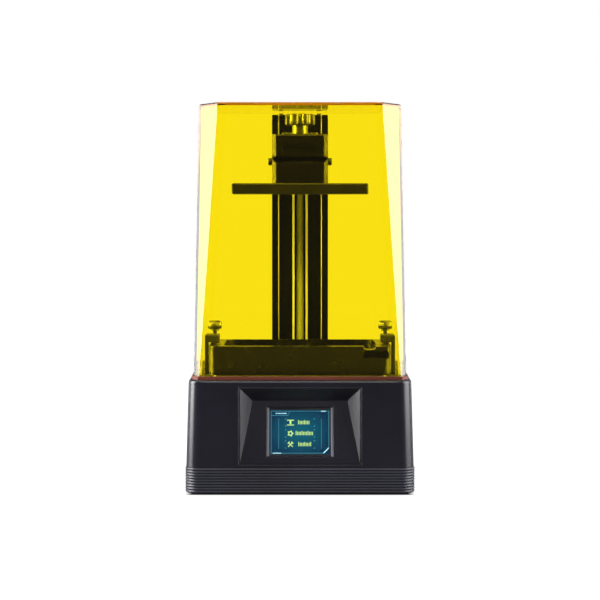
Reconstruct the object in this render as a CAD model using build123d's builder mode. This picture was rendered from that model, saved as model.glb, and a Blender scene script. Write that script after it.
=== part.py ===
"""Desktop resin printer: a black two-part casing with a touch screen, a metal deck over the light engine,
a single Z column at the back that carries the build platform, a resin vat held by two thumbscrews, and a
tapered, translucent eight-sided hood that lifts off.

Millimetres. +X is the viewer's right, -Y is the front with the touch screen, +Z is up. The origin lies on
the surface that the printer stands on, under the middle of the casing. Each sub-part is one STEP file.
"""

from build123d import *
from math import cos, hypot, radians, sin
import os

os.makedirs("parts", exist_ok=True)

UP = (Align.CENTER, Align.CENTER, Align.MIN)
DOWN = (Align.CENTER, Align.CENTER, Align.MAX)

# ------------------------------------------------------------------ driving dimensions
# Casing
BASE_W, BASE_D = 225.0, 227.0  # over the ribbed skirt
FOOT_DROP = 2.0  # the rubber feet under the casing
SKIRT_TOP = 26.5  # seam between the lower and the upper casing
DECK_Z = 112.0  # top of the casing and of the deck, where the hood and the vat stand
WALL = 2.5
CORNER_R = 14.0
SKIRT_PROUD = 1.0  # the ribs stand out this far from the upper casing
CASING_LEAN = 2.5  # each wall of the upper casing leans in by this much at the top
RIBS = 9

# Recess with the touch screen, on the front wall
BEZEL_LOW, BEZEL_HIGH, BEZEL_HALF_W = 30.2, 105.3, 59.6
RECESS_DEPTH = 12.0
RECESS_TOP_Z, RECESS_TOP_HALF_W = 91.8, 46.5
SCREEN_W, SCREEN_H = 64.0, 48.0

# Hood: width, depth, and the corner cut in X and in Y, at its foot and at its head
HOOD_TOP, HOOD_WALL = 383.0, 3.0
HOOD_FOOT = (208.0, 209.0, 5.6, 12.3)
HOOD_HEAD = (201.0, 187.0, 20.2, 44.4)
HOOD_FLANGE, HOOD_FLANGE_H = 2.0, 3.5

# Z column, screw and rails
COLUMN_W, COLUMN_FRONT, COLUMN_BACK, COLUMN_TOP = 58.4, 40.0, 85.0, 372.0
COLUMN_SLOT, COLUMN_WALL, FLANGE_BACK = 16.0, 4.0, 46.0
SCREW_Y, SCREW_R, SCREW_TOP = 64.0, 4.0, 370.0
RAIL_GAP, RAIL_OUTER, RAIL_BACK = 11.6, 14.0, 52.0

# Build platform and its arm, all centred on the light engine
PLATFORM_Y = -22.0
PLATE_W, PLATE_D, PLATE_BOTTOM, PLATE_TOP = 136.0, 80.0, 293.8, 304.4
HOLDER_W, HOLDER_TOP = 56.0, 330.7
ARM_FRONT, ARM_BACK, ARM_BOTTOM, ARM_TOP = -50.0, 33.6, 331.0, 353.4

# Vat and light engine
VAT_W, VAT_D, VAT_Y, VAT_TOP = 180.6, 112.0, -25.5, 143.4
CAVITY_W, CAVITY_D = 152.0, 100.0
LCD_W, LCD_D = 143.4, 89.6
CLAMP_X = 86.5
BRACKET_X, BRACKET_T, BRACKET_D = 94.5, 3.0, 26.0

M3_R, M3_HEAD_R = 1.5, 3.0  # shank and head of the small screws
RUN = 0.05  # running clearance between a turning shaft and its hole, on the radius
SLIDE = 0.3  # clearance on each side of a sliding fit


# ------------------------------------------------------------------ shared shapes
def save(builder, name):
    """Labels a finished sub-part and writes it as its own STEP file."""
    builder.part.label = name
    export_step(builder.part, f"parts/{name}.step")


def cut_corner_outline(width, depth, cut_x, cut_y):
    """The points of a rectangle whose four corners are cut off, anticlockwise."""
    x, y = width / 2, depth / 2
    quarter = [(x, y - cut_y), (x - cut_x, y)]
    top = quarter + [(-px, py) for px, py in reversed(quarter)]
    return top + [(-px, -py) for px, py in top]


def inset_outline(width, depth, cut_x, cut_y, inset):
    """The same outline with every side moved inwards by inset, or outwards where inset is negative."""
    share = 1 + inset * (hypot(1 / cut_x, 1 / cut_y) - 1 / cut_x - 1 / cut_y)
    return width - 2 * inset, depth - 2 * inset, cut_x * share, cut_y * share


def casing_half(z):
    """Half the upper casing's outer width and depth at height z."""
    lean = CASING_LEAN * (z - SKIRT_TOP) / (DECK_Z - SKIRT_TOP)
    return BASE_W / 2 - SKIRT_PROUD - lean, BASE_D / 2 - SKIRT_PROUD - lean


def casing_box(z_low, z_high, inset):
    """The upper casing's leaning rounded box between two heights, moved inwards by inset."""
    with BuildPart() as box:
        for z in (z_low, z_high):
            half_w, half_d = casing_half(z)
            with BuildSketch(Plane.XY.offset(z)):
                RectangleRounded(2 * (half_w - inset), 2 * (half_d - inset), CORNER_R - inset)
        loft(ruled=True)
    return box.part


LEAN_SLOPE = CASING_LEAN / (DECK_Z - SKIRT_TOP)


def wall_plane(side, along, z):
    """A plane on an outer wall of the upper casing: X along the wall, Y up the wall and Z outwards."""
    half_w, half_d = casing_half(z)
    if side == "right":
        return Plane(origin=(half_w, along, z), x_dir=(0, 1, 0), z_dir=(1, 0, LEAN_SLOPE))
    if side == "left":
        return Plane(origin=(-half_w, along, z), x_dir=(0, -1, 0), z_dir=(-1, 0, LEAN_SLOPE))
    if side == "back":
        return Plane(origin=(along, half_d, z), x_dir=(-1, 0, 0), z_dir=(0, 1, LEAN_SLOPE))
    return Plane(origin=(along, -half_d, z), x_dir=(1, 0, 0), z_dir=(0, -1, LEAN_SLOPE))


def socket_screw(size, length):
    """A socket-head screw of nominal size, seated at z=0 with its shank downwards."""
    with BuildPart() as screw:
        Cylinder(0.85 * size, size, align=UP)
        chamfer(screw.edges().group_by(Axis.Z)[-1], 0.12 * size)
        Cylinder(size / 2, length, align=DOWN)
        with BuildSketch(Plane.XY.offset(size)):
            RegularPolygon(0.48 * size, 6)
        extrude(amount=-0.6 * size, mode=Mode.SUBTRACT)
    return screw.part


def flat_screw(size, length):
    """A countersunk screw of nominal size with its flat head flush at z=0 and its shank downwards."""
    with BuildPart() as screw:
        Cylinder(size / 2, length, align=DOWN)
        Cone(size / 2, size, size / 2, align=DOWN)
        with BuildSketch():
            RegularPolygon(0.34 * size, 6)
        extrude(amount=-0.5 * size, mode=Mode.SUBTRACT)
    return screw.part


# ------------------------------------------------------------------ lower casing: ribbed skirt and floor
SKIRT_R = CORNER_R + SKIRT_PROUD
FLOOR_T = 2.5
RIB_PITCH = (SKIRT_TOP - FOOT_DROP) / RIBS
RIB_SLOPE = 36.0  # degrees from the vertical
LIP_T, LIP_H, LIP_GAP = 1.6, 3.4, 0.3
lip_w = 2 * (casing_half(SKIRT_TOP)[0] - WALL - LIP_GAP)
lip_d = 2 * (casing_half(SKIRT_TOP)[1] - WALL - LIP_GAP)
lip_r = CORNER_R - WALL - LIP_GAP
FOOT_X, FOOT_Y = 88.0, 90.0
CASING_SCREW_X, CASING_SCREW_Y = 97.0, 60.0
BOSS_R, BOSS_TOP, HEAD_POCKET = 4.5, 12.0, 4.0
FLOOR_SLOTS, FLOOR_SLOT_PITCH, FLOOR_SLOT_L, FLOOR_SLOT_W, FLOOR_SLOT_Y = 9, 9.0, 44.0, 3.4, 35.0
FOOT_R, FOOT_STEM_R, FOOT_BARB_R, FOOT_BARB_TOP_R, FOOT_BARB_H = 9.0, 3.0, 4.0, 2.4, 3.0

with BuildPart() as lower_casing:
    with BuildSketch(Plane.XY.offset(FOOT_DROP)):
        RectangleRounded(BASE_W - 2 * SKIRT_PROUD, BASE_D - 2 * SKIRT_PROUD, CORNER_R)
    extrude(amount=SKIRT_TOP - FOOT_DROP)
    for rib in range(RIBS):
        with BuildSketch(Plane.XY.offset(FOOT_DROP + (rib + 0.5) * RIB_PITCH)):
            RectangleRounded(BASE_W, BASE_D, SKIRT_R)
        extrude(amount=RIB_PITCH / 2, taper=RIB_SLOPE)
        with BuildSketch(Plane.XY.offset(FOOT_DROP + (rib + 0.5) * RIB_PITCH)):
            RectangleRounded(BASE_W, BASE_D, SKIRT_R)
        extrude(amount=-RIB_PITCH / 2, taper=RIB_SLOPE)
    # the lip that locates the upper casing, and the hollow inside
    with BuildSketch(Plane.XY.offset(SKIRT_TOP)):
        RectangleRounded(lip_w, lip_d, lip_r)
    extrude(amount=LIP_H)
    with BuildSketch(Plane.XY.offset(FOOT_DROP + FLOOR_T)):
        RectangleRounded(lip_w - 2 * LIP_T, lip_d - 2 * LIP_T, lip_r - LIP_T)
    extrude(amount=SKIRT_TOP + LIP_H, mode=Mode.SUBTRACT)
    # screw bosses
    with Locations((0, 0, FOOT_DROP)):
        with GridLocations(2 * CASING_SCREW_X, 2 * CASING_SCREW_Y, 2, 2):
            Cylinder(BOSS_R, BOSS_TOP - FOOT_DROP, align=UP)
            Cylinder(M3_R, BOSS_TOP - FOOT_DROP, align=UP, mode=Mode.SUBTRACT)
            Cylinder(M3_HEAD_R, HEAD_POCKET, align=UP, mode=Mode.SUBTRACT)
        # holes for the feet and slots for air
        with GridLocations(2 * FOOT_X, 2 * FOOT_Y, 2, 2):
            Cylinder(FOOT_STEM_R, FLOOR_T, align=UP, mode=Mode.SUBTRACT)
    with BuildSketch(Plane.XY.offset(FOOT_DROP)):
        with GridLocations(FLOOR_SLOT_PITCH, 2 * FLOOR_SLOT_Y, FLOOR_SLOTS, 2):
            SlotOverall(FLOOR_SLOT_L, FLOOR_SLOT_W, rotation=90)
    extrude(amount=FLOOR_T, mode=Mode.SUBTRACT)
save(lower_casing, "lower_casing")

with BuildPart() as rubber_feet:
    with GridLocations(2 * FOOT_X, 2 * FOOT_Y, 2, 2):
        Cylinder(FOOT_R, FOOT_DROP, align=UP)
    chamfer(rubber_feet.edges().group_by(Axis.Z)[0], 0.5)
    with GridLocations(2 * FOOT_X, 2 * FOOT_Y, 2, 2):
        Cylinder(FOOT_STEM_R, FOOT_DROP + FLOOR_T, align=UP)
    with Locations((0, 0, FOOT_DROP + FLOOR_T)):
        with GridLocations(2 * FOOT_X, 2 * FOOT_Y, 2, 2):
            Cone(FOOT_BARB_R, FOOT_BARB_TOP_R, FOOT_BARB_H, align=UP)
save(rubber_feet, "rubber_feet")

casing_screw = socket_screw(3.0, 14.0).rotate(Axis.X, 180)
with BuildPart() as casing_screws:
    with Locations((0, 0, FOOT_DROP + HEAD_POCKET)):
        with GridLocations(2 * CASING_SCREW_X, 2 * CASING_SCREW_Y, 2, 2):
            add(casing_screw)
save(casing_screws, "casing_screws")

# ------------------------------------------------------------------ upper casing
ROOF_T, DECK_T, DECK_GAP, ROOF_EDGE_R = 4.0, 2.0, 0.3, 2.5
DECK_W, DECK_D, DECK_R = 194.0, 192.0, 12.0
LEDGE = 6.0  # the roof carries the deck's rim over this width
DECK_SCREW_X, DECK_SCREW_Y = DECK_W / 2 - LEDGE / 2, 80.0
RIDGE_GAP, RIDGE_T, RIDGE_H = 0.5, 1.4, 3.0
SWITCH_Y, SWITCH_Z, SWITCH_W, SWITCH_H = 66.0, 60.0, 19.4, 13.2
USB_Y, USB_Z, USB_W, USB_H = 66.0, 86.0, 14.2, 7.0
JACK_X, JACK_Z, JACK_R = 62.0, 42.0, 5.6
FAN_X, FAN_Z, FAN_SIZE, FAN_T = -46.0, 66.0, 60.0, 15.0
FAN_FACE = 107.4  # the fan's outer face, square to Y
FAN_HOLE = 25.0
VENT_Y, VENT_Z, VENT_H = -8.0, 62.0, 36.0
bezel_plane = wall_plane("front", 0, (BEZEL_LOW + BEZEL_HIGH) / 2)
BEZEL_HALF_H = (BEZEL_HIGH - BEZEL_LOW) / 2
BEZEL_GAP, BEZEL_T, BEZEL_FLANGE_T = 0.25, 2.4, 2.0
UPPER_BOSS_H, WEB_T, THREAD_DEPTH = 30.0, 4.0, 16.0
SIDE_CUT, BACK_CUT = 6.0, 7.0  # depths that pass through the leaning walls
FAN_BOSS_R, FAN_BOSS_L, FAN_SCREW_HOLE_R = 3.6, 3.0, 1.8
FAN_SLOTS, FAN_SLOT_L, FAN_SLOT_W, VENTS, VENT_W, SLOT_PITCH = 8, 44.0, 3.0, 10, 2.6, 6.0

casing_outer = casing_box(SKIRT_TOP, DECK_Z, 0)
casing_hollow = casing_box(SKIRT_TOP, DECK_Z - ROOF_T, WALL)

with BuildPart() as upper_casing:
    add(casing_outer)
    fillet(upper_casing.faces().sort_by(Axis.Z)[-1].edges(), ROOF_EDGE_R)
    add(casing_hollow, mode=Mode.SUBTRACT)
    # opening in the roof, with a seat for the deck
    with BuildSketch(Plane.XY.offset(DECK_Z)):
        RectangleRounded(DECK_W + 2 * DECK_GAP, DECK_D + 2 * DECK_GAP, DECK_R)
    extrude(amount=-DECK_T, mode=Mode.SUBTRACT)
    with BuildSketch(Plane.XY.offset(DECK_Z)):
        RectangleRounded(DECK_W - 2 * LEDGE, DECK_D - 2 * LEDGE, DECK_R - LEDGE / 2)
    extrude(amount=-ROOF_T, mode=Mode.SUBTRACT)
    with Locations((0, 0, DECK_Z)):
        with GridLocations(2 * DECK_SCREW_X, DECK_SCREW_Y, 2, 3):
            Cylinder(M3_R, ROOF_T, align=DOWN, mode=Mode.SUBTRACT)
    # notches in the ledge for the feet of the vat brackets
    with Locations((0, PLATFORM_Y, DECK_Z - DECK_T)):
        notch_w = 2 * (BRACKET_X + DECK_GAP) + BRACKET_T
        Box(notch_w, BRACKET_D + 1, ROOF_T, align=DOWN, mode=Mode.SUBTRACT)
    # ridge that locates the hood and stops stray light
    ridge = inset_outline(*HOOD_FOOT, HOOD_WALL + RIDGE_GAP)
    with BuildSketch(Plane.XY.offset(DECK_Z)):
        Polygon(*cut_corner_outline(*ridge), align=None)
        Polygon(*cut_corner_outline(*inset_outline(*ridge, RIDGE_T)), align=None, mode=Mode.SUBTRACT)
    extrude(amount=RIDGE_H)
    # window for the screen recess
    with BuildSketch(bezel_plane):
        Rectangle(2 * (BEZEL_HALF_W + BEZEL_GAP), 2 * (BEZEL_HALF_H + BEZEL_GAP))
    extrude(amount=WALL + BEZEL_FLANGE_T, both=True, mode=Mode.SUBTRACT)
    # bosses for the casing screws, each joined to its side wall
    with Locations((0, 0, BOSS_TOP)):
        with GridLocations(2 * CASING_SCREW_X, 2 * CASING_SCREW_Y, 2, 2):
            Cylinder(BOSS_R, UPPER_BOSS_H, align=UP)
    web_low, web_out = SKIRT_TOP + LIP_H + 1, casing_half(40)[0] - 1
    for side in (-1, 1):
        with Locations((side * (CASING_SCREW_X + web_out) / 2, 0, web_low)):
            with GridLocations(0, 2 * CASING_SCREW_Y, 1, 2):
                Box(web_out - CASING_SCREW_X, WEB_T, BOSS_TOP + UPPER_BOSS_H - web_low, align=UP)
    with Locations((0, 0, BOSS_TOP)):
        with GridLocations(2 * CASING_SCREW_X, 2 * CASING_SCREW_Y, 2, 2):
            Cylinder(M3_R, THREAD_DEPTH, align=UP, mode=Mode.SUBTRACT)
    # back wall: bosses and slots for the fan, and the power inlet
    with BuildSketch(Plane.XZ.offset(-FAN_FACE)):
        with Locations((FAN_X, FAN_Z)):
            with GridLocations(2 * FAN_HOLE, 2 * FAN_HOLE, 2, 2):
                Circle(FAN_BOSS_R)
    extrude(amount=-FAN_BOSS_L)
    with BuildSketch(wall_plane("back", FAN_X, FAN_Z)):
        with GridLocations(SLOT_PITCH, 0, FAN_SLOTS, 1):
            SlotOverall(FAN_SLOT_L, FAN_SLOT_W, rotation=90)
        with GridLocations(2 * FAN_HOLE, 2 * FAN_HOLE, 2, 2):
            Circle(FAN_SCREW_HOLE_R)
    extrude(amount=-BACK_CUT, mode=Mode.SUBTRACT)
    with BuildSketch(wall_plane("back", JACK_X, JACK_Z)):
        Circle(JACK_R)
    extrude(amount=-BACK_CUT, mode=Mode.SUBTRACT)
    # right wall: rocker switch, USB socket and air slots, and air slots on the left
    with BuildSketch(wall_plane("right", SWITCH_Y, SWITCH_Z)):
        Rectangle(SWITCH_W, SWITCH_H)
    extrude(amount=-SIDE_CUT, mode=Mode.SUBTRACT)
    with BuildSketch(wall_plane("right", USB_Y, USB_Z)):
        Rectangle(USB_W, USB_H)
    extrude(amount=-SIDE_CUT, mode=Mode.SUBTRACT)
    for side in ("right", "left"):
        with BuildSketch(wall_plane(side, VENT_Y, VENT_Z)):
            with GridLocations(SLOT_PITCH, 0, VENTS, 1):
                SlotOverall(VENT_H, VENT_W, rotation=90)
        extrude(amount=-SIDE_CUT, mode=Mode.SUBTRACT)
save(upper_casing, "upper_casing")

# ------------------------------------------------------------------ screen recess and touch screen
BORDER_SIDE, BORDER_LOW = 1.2, 1.1
GLASS_SET_IN, GLASS_T, GLASS_GAP, WINDOW_BEVEL = 0.9, 1.3, 0.2, 0.7
RIM_IN, FLANGE_OUT, FLANGE_RISE = 2.4, 3.0, 2.2
DISPLAY_W, DISPLAY_H, DISPLAY_T = 70.0, 52.0, 3.2
recess_side = Plane(origin=bezel_plane.origin, x_dir=-bezel_plane.z_dir, z_dir=(1, 0, 0))
recess_above = Plane(origin=bezel_plane.origin, x_dir=(1, 0, 0), z_dir=bezel_plane.y_dir)
recess_foot = (0.0, BORDER_LOW - BEZEL_HALF_H)
recess_back = (RECESS_DEPTH, RECESS_TOP_Z - bezel_plane.origin.Z)
recess_front = (0.0, BEZEL_HALF_H - BORDER_SIDE)


def recess_wedge(grow):
    """The hollow of the screen recess: its tilted panel, and its side and top facets, moved out by grow."""
    with BuildPart() as wedge:
        with BuildSketch(recess_side):
            Polygon(recess_foot, recess_back, recess_front, align=None)
            if grow:
                offset(amount=grow, kind=Kind.INTERSECTION)
            with Locations((BEZEL_HALF_H, 0)):
                Rectangle(2 * BEZEL_HALF_H, 6 * BEZEL_HALF_H, mode=Mode.INTERSECT)
        extrude(amount=BEZEL_HALF_W, both=True)
        half_front = BEZEL_HALF_W - BORDER_SIDE + grow
        half_back = RECESS_TOP_HALF_W + grow
        with BuildSketch(recess_above):
            Polygon(
                (-half_front, 0),
                (half_front, 0),
                (half_back, RECESS_DEPTH + grow),
                (-half_back, RECESS_DEPTH + grow),
                align=None,
            )
        extrude(amount=2 * BEZEL_HALF_H, both=True, mode=Mode.INTERSECT)
        with BuildSketch(bezel_plane):
            Rectangle(2 * BEZEL_HALF_W, 2 * BEZEL_HALF_H)
        extrude(amount=-2 * RECESS_DEPTH, mode=Mode.INTERSECT)
    return wedge.part


panel_rise = bezel_plane.y_dir * (recess_back[1] - recess_foot[1])
panel_up = (panel_rise - bezel_plane.z_dir * RECESS_DEPTH).normalized()
panel_out = Vector(1, 0, 0).cross(panel_up)
panel_middle = (
    bezel_plane.origin
    + bezel_plane.y_dir * ((recess_foot[1] + recess_back[1]) / 2)
    - bezel_plane.z_dir * (RECESS_DEPTH / 2)
)
screen_plane = Plane(origin=panel_middle, x_dir=(1, 0, 0), z_dir=panel_out)
bezel_shell, bezel_hollow = recess_wedge(BEZEL_T), recess_wedge(0)

with BuildPart() as screen_bezel:
    with BuildSketch(bezel_plane):
        Rectangle(2 * BEZEL_HALF_W, 2 * BEZEL_HALF_H)
    extrude(amount=-WALL - BEZEL_FLANGE_T)
    # flange behind the casing wall, at the sides and the top
    with BuildSketch(bezel_plane.offset(-WALL - 0.1)):
        with Locations((0, FLANGE_RISE)):
            Rectangle(2 * (BEZEL_HALF_W + FLANGE_OUT), 2 * (BEZEL_HALF_H - SLIDE))
    extrude(amount=-BEZEL_FLANGE_T)
    with BuildSketch(bezel_plane):
        Rectangle(2 * (BEZEL_HALF_W - RIM_IN), 2 * (BEZEL_HALF_H - RIM_IN))
    extrude(amount=-2 * RECESS_DEPTH, mode=Mode.SUBTRACT)
    add(bezel_shell)
    add(bezel_hollow, mode=Mode.SUBTRACT)
    # window for the screen, with a bevelled edge
    with BuildSketch(screen_plane):
        Rectangle(SCREEN_W, SCREEN_H)
    extrude(amount=-BEZEL_T - 0.4, mode=Mode.SUBTRACT)
    with BuildSketch(screen_plane):
        Rectangle(SCREEN_W + 2 * WINDOW_BEVEL, SCREEN_H + 2 * WINDOW_BEVEL)
    with BuildSketch(screen_plane.offset(-WINDOW_BEVEL)):
        Rectangle(SCREEN_W, SCREEN_H)
    loft(ruled=True, mode=Mode.SUBTRACT)
save(screen_bezel, "screen_bezel")

with BuildPart() as screen_glass:
    with BuildSketch(screen_plane.offset(-GLASS_SET_IN)):
        Rectangle(SCREEN_W - GLASS_GAP, SCREEN_H - GLASS_GAP)
    extrude(amount=-GLASS_T)
save(screen_glass, "screen_glass")

display_front = -BEZEL_T
BOARD_T, CHIP_T = 1.6, 1.8
SCREEN_CHIP, SCREEN_CHIP_AT = 14.0, (-12.0, 6.0)
SCREEN_PLUG, SCREEN_PLUG_AT = (20.0, 5.0), (18.0, -12.0)
with BuildPart() as screen_display:
    with BuildSketch(screen_plane.offset(display_front)):
        RectangleRounded(DISPLAY_W, DISPLAY_H, 1)
    extrude(amount=-DISPLAY_T)
save(screen_display, "screen_display")

with BuildPart() as screen_board:
    with BuildSketch(screen_plane.offset(display_front - DISPLAY_T)):
        RectangleRounded(DISPLAY_W + 6, DISPLAY_H + 4, 2)
        with GridLocations(DISPLAY_W + 1, DISPLAY_H - 1, 2, 2):
            Circle(M3_R, mode=Mode.SUBTRACT)
    extrude(amount=-BOARD_T)
    with BuildSketch(screen_plane.offset(display_front - DISPLAY_T - BOARD_T)):
        with Locations(SCREEN_CHIP_AT):
            Rectangle(SCREEN_CHIP, SCREEN_CHIP)
        with Locations(SCREEN_PLUG_AT):
            Rectangle(*SCREEN_PLUG)
    extrude(amount=-CHIP_T)
save(screen_board, "screen_board")

# ------------------------------------------------------------------ deck and masking screen
LCD_T = 2.0
SHAFT_HOLE_R, SINK_R = 6.0, 3.05
MOTOR_SIZE, MOTOR_BOLT = 42.3, 31.0
COLUMN_MID = (COLUMN_FRONT + COLUMN_BACK) / 2

with BuildPart() as deck:
    with BuildSketch(Plane.XY.offset(DECK_Z - DECK_T)):
        RectangleRounded(DECK_W, DECK_D, DECK_R)
        with Locations((0, PLATFORM_Y)):
            Rectangle(LCD_W, LCD_D, mode=Mode.SUBTRACT)
            with GridLocations(2 * BRACKET_X, 0, 2, 1):
                Rectangle(BRACKET_T + 0.2, BRACKET_D + 0.4, mode=Mode.SUBTRACT)
        with Locations((0, SCREW_Y)):
            Circle(SHAFT_HOLE_R, mode=Mode.SUBTRACT)
    extrude(amount=DECK_T)
    with Locations((0, 0, DECK_Z)):
        with GridLocations(2 * DECK_SCREW_X, DECK_SCREW_Y, 2, 3):
            CounterSinkHole(M3_R, SINK_R, depth=DECK_T)
    with Locations((0, SCREW_Y, DECK_Z)):
        with GridLocations(MOTOR_BOLT, MOTOR_BOLT, 2, 2):
            CounterSinkHole(M3_R, SINK_R, depth=DECK_T)
save(deck, "deck_plate")

deck_screw = flat_screw(2 * M3_R, ROOF_T - 0.1)
with BuildPart() as deck_screws:
    with Locations((0, 0, DECK_Z)):
        with GridLocations(2 * DECK_SCREW_X, DECK_SCREW_Y, 2, 3):
            add(deck_screw)
save(deck_screws, "deck_screws")

with BuildPart() as lcd_panel:
    with BuildSketch(Plane.XY.offset(DECK_Z)):
        with Locations((0, PLATFORM_Y)):
            Rectangle(LCD_W - 0.2, LCD_D - 0.2)
    extrude(amount=-LCD_T)
save(lcd_panel, "lcd_panel")

# ------------------------------------------------------------------ light engine under the masking screen
TUNNEL_TOP, TUNNEL_BOTTOM, TUNNEL_WALL = DECK_Z - DECK_T, 62.0, 2.4
TUNNEL_FOOT_W, TUNNEL_FOOT_D = 100.0, 66.0
LENS_Z, LENS_T = 104.0, 2.5
tunnel_w, tunnel_d = LCD_W + 8, LCD_D + 8

with BuildPart() as light_tunnel:
    for inset, how in ((0, Mode.ADD), (TUNNEL_WALL, Mode.SUBTRACT)):
        with BuildSketch(Plane.XY.offset(TUNNEL_BOTTOM)):
            with Locations((0, PLATFORM_Y)):
                Rectangle(TUNNEL_FOOT_W - 2 * inset, TUNNEL_FOOT_D - 2 * inset)
        with BuildSketch(Plane.XY.offset(LENS_Z)):
            with Locations((0, PLATFORM_Y)):
                Rectangle(tunnel_w - 2 * inset, tunnel_d - 2 * inset)
        loft(ruled=True, mode=how)
    with BuildSketch(Plane.XY.offset(LENS_Z)):
        with Locations((0, PLATFORM_Y)):
            Rectangle(tunnel_w, tunnel_d)
            Rectangle(tunnel_w - 2 * TUNNEL_WALL, tunnel_d - 2 * TUNNEL_WALL, mode=Mode.SUBTRACT)
    extrude(amount=TUNNEL_TOP - LENS_Z)
save(light_tunnel, "light_tunnel")

with BuildPart() as collimator_lens:
    with BuildSketch(Plane.XY.offset(TUNNEL_TOP - LENS_T)):
        with Locations((0, PLATFORM_Y)):
            Rectangle(tunnel_w - 2 * TUNNEL_WALL, tunnel_d - 2 * TUNNEL_WALL)
    extrude(amount=LENS_T)
save(collimator_lens, "collimator_lens")

LED_BASE, LED_BASE_T, LED_DOME_R = 3.5, 0.8, 1.5
LED_COLUMNS, LED_ROWS, LED_PITCH = 7, 4, 12.0
with BuildPart() as led_board:
    with BuildSketch(Plane.XY.offset(TUNNEL_BOTTOM)):
        with Locations((0, PLATFORM_Y)):
            Rectangle(TUNNEL_FOOT_W, TUNNEL_FOOT_D)
    extrude(amount=-BOARD_T)
save(led_board, "led_board")

with BuildPart() as led_chips:
    with Locations((0, PLATFORM_Y, TUNNEL_BOTTOM)):
        with GridLocations(LED_PITCH, LED_PITCH, LED_COLUMNS, LED_ROWS):
            Box(LED_BASE, LED_BASE, LED_BASE_T, align=UP)
            with Locations((0, 0, LED_BASE_T)):
                Sphere(LED_DOME_R, arc_size1=0)
save(led_chips, "led_chips")

HEATSINK_H, HEATSINK_BASE_T, HEATSINK_IN, FINS, FIN_T = 22.0, 4.0, 2.0, 13, 1.5
heatsink_w, heatsink_d = TUNNEL_FOOT_W - 2 * HEATSINK_IN, TUNNEL_FOOT_D - 2 * HEATSINK_IN
with BuildPart() as led_heatsink:
    with BuildSketch(Plane.XY.offset(TUNNEL_BOTTOM - BOARD_T)):
        with Locations((0, PLATFORM_Y)):
            Rectangle(heatsink_w, heatsink_d)
    extrude(amount=-HEATSINK_BASE_T)
    with BuildSketch(Plane.XY.offset(TUNNEL_BOTTOM - BOARD_T - HEATSINK_BASE_T)):
        with Locations((0, PLATFORM_Y)):
            with GridLocations((heatsink_w - FIN_T) / (FINS - 1), 0, FINS, 1):
                Rectangle(FIN_T, heatsink_d)
    extrude(amount=HEATSINK_BASE_T - HEATSINK_H)
save(led_heatsink, "led_heatsink")

# ------------------------------------------------------------------ main board
BOARD_X, BOARD_Y, BOARD_Z, BOARD_W, BOARD_D = -8.0, 56.0, 14.0, 130.0, 80.0
PILLAR_X, PILLAR_Y, PILLAR_R, NUT_CAP_R, NUT_CAP_H = BOARD_W / 2 - 4, BOARD_D / 2 - 4, 3.0, 2.7, 1.8
CHIPS = [((-20.0, 8.0), 20.0), ((12.0, 10.0), 14.0)]  # place and size
PLUGS, PLUG_PITCH, PLUG_Y, PLUG = 7, 14.0, -33.0, (10.0, 6.0, 8.0)
CANS, CAN_PITCH, CAN_AT, CAN_R, CAN_H = 3, 13.0, (34.0, 22.0), 4.5, 10.0
board_floor = FOOT_DROP + FLOOR_T
with BuildPart() as main_board:
    with BuildSketch(Plane.XY.offset(BOARD_Z)):
        with Locations((BOARD_X, BOARD_Y)):
            RectangleRounded(BOARD_W, BOARD_D, 2)
            with GridLocations(2 * PILLAR_X, 2 * PILLAR_Y, 2, 2):
                Circle(M3_R, mode=Mode.SUBTRACT)
    extrude(amount=BOARD_T)
save(main_board, "main_board")

with BuildPart() as board_parts:
    with Locations((BOARD_X, BOARD_Y, BOARD_Z + BOARD_T)):
        for chip_at, chip_size in CHIPS:
            with Locations(chip_at):
                Box(chip_size, chip_size, CHIP_T, align=UP)
        with GridLocations(PLUG_PITCH, 0, PLUGS, 1):
            with Locations((0, PLUG_Y)):
                Box(*PLUG, align=UP)
        with GridLocations(CAN_PITCH, 0, CANS, 1):
            with Locations(CAN_AT):
                Cylinder(CAN_R, CAN_H, align=UP)
save(board_parts, "board_parts")

with BuildPart() as board_pillars:
    with Locations((BOARD_X, BOARD_Y, board_floor)):
        with GridLocations(2 * PILLAR_X, 2 * PILLAR_Y, 2, 2):
            Cylinder(PILLAR_R, BOARD_Z - board_floor, align=UP)
            Cylinder(M3_R, BOARD_Z + BOARD_T - board_floor, align=UP)
            with Locations((0, 0, BOARD_Z + BOARD_T - board_floor)):
                Cylinder(NUT_CAP_R, NUT_CAP_H, align=UP)
save(board_pillars, "board_pillars")

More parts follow.
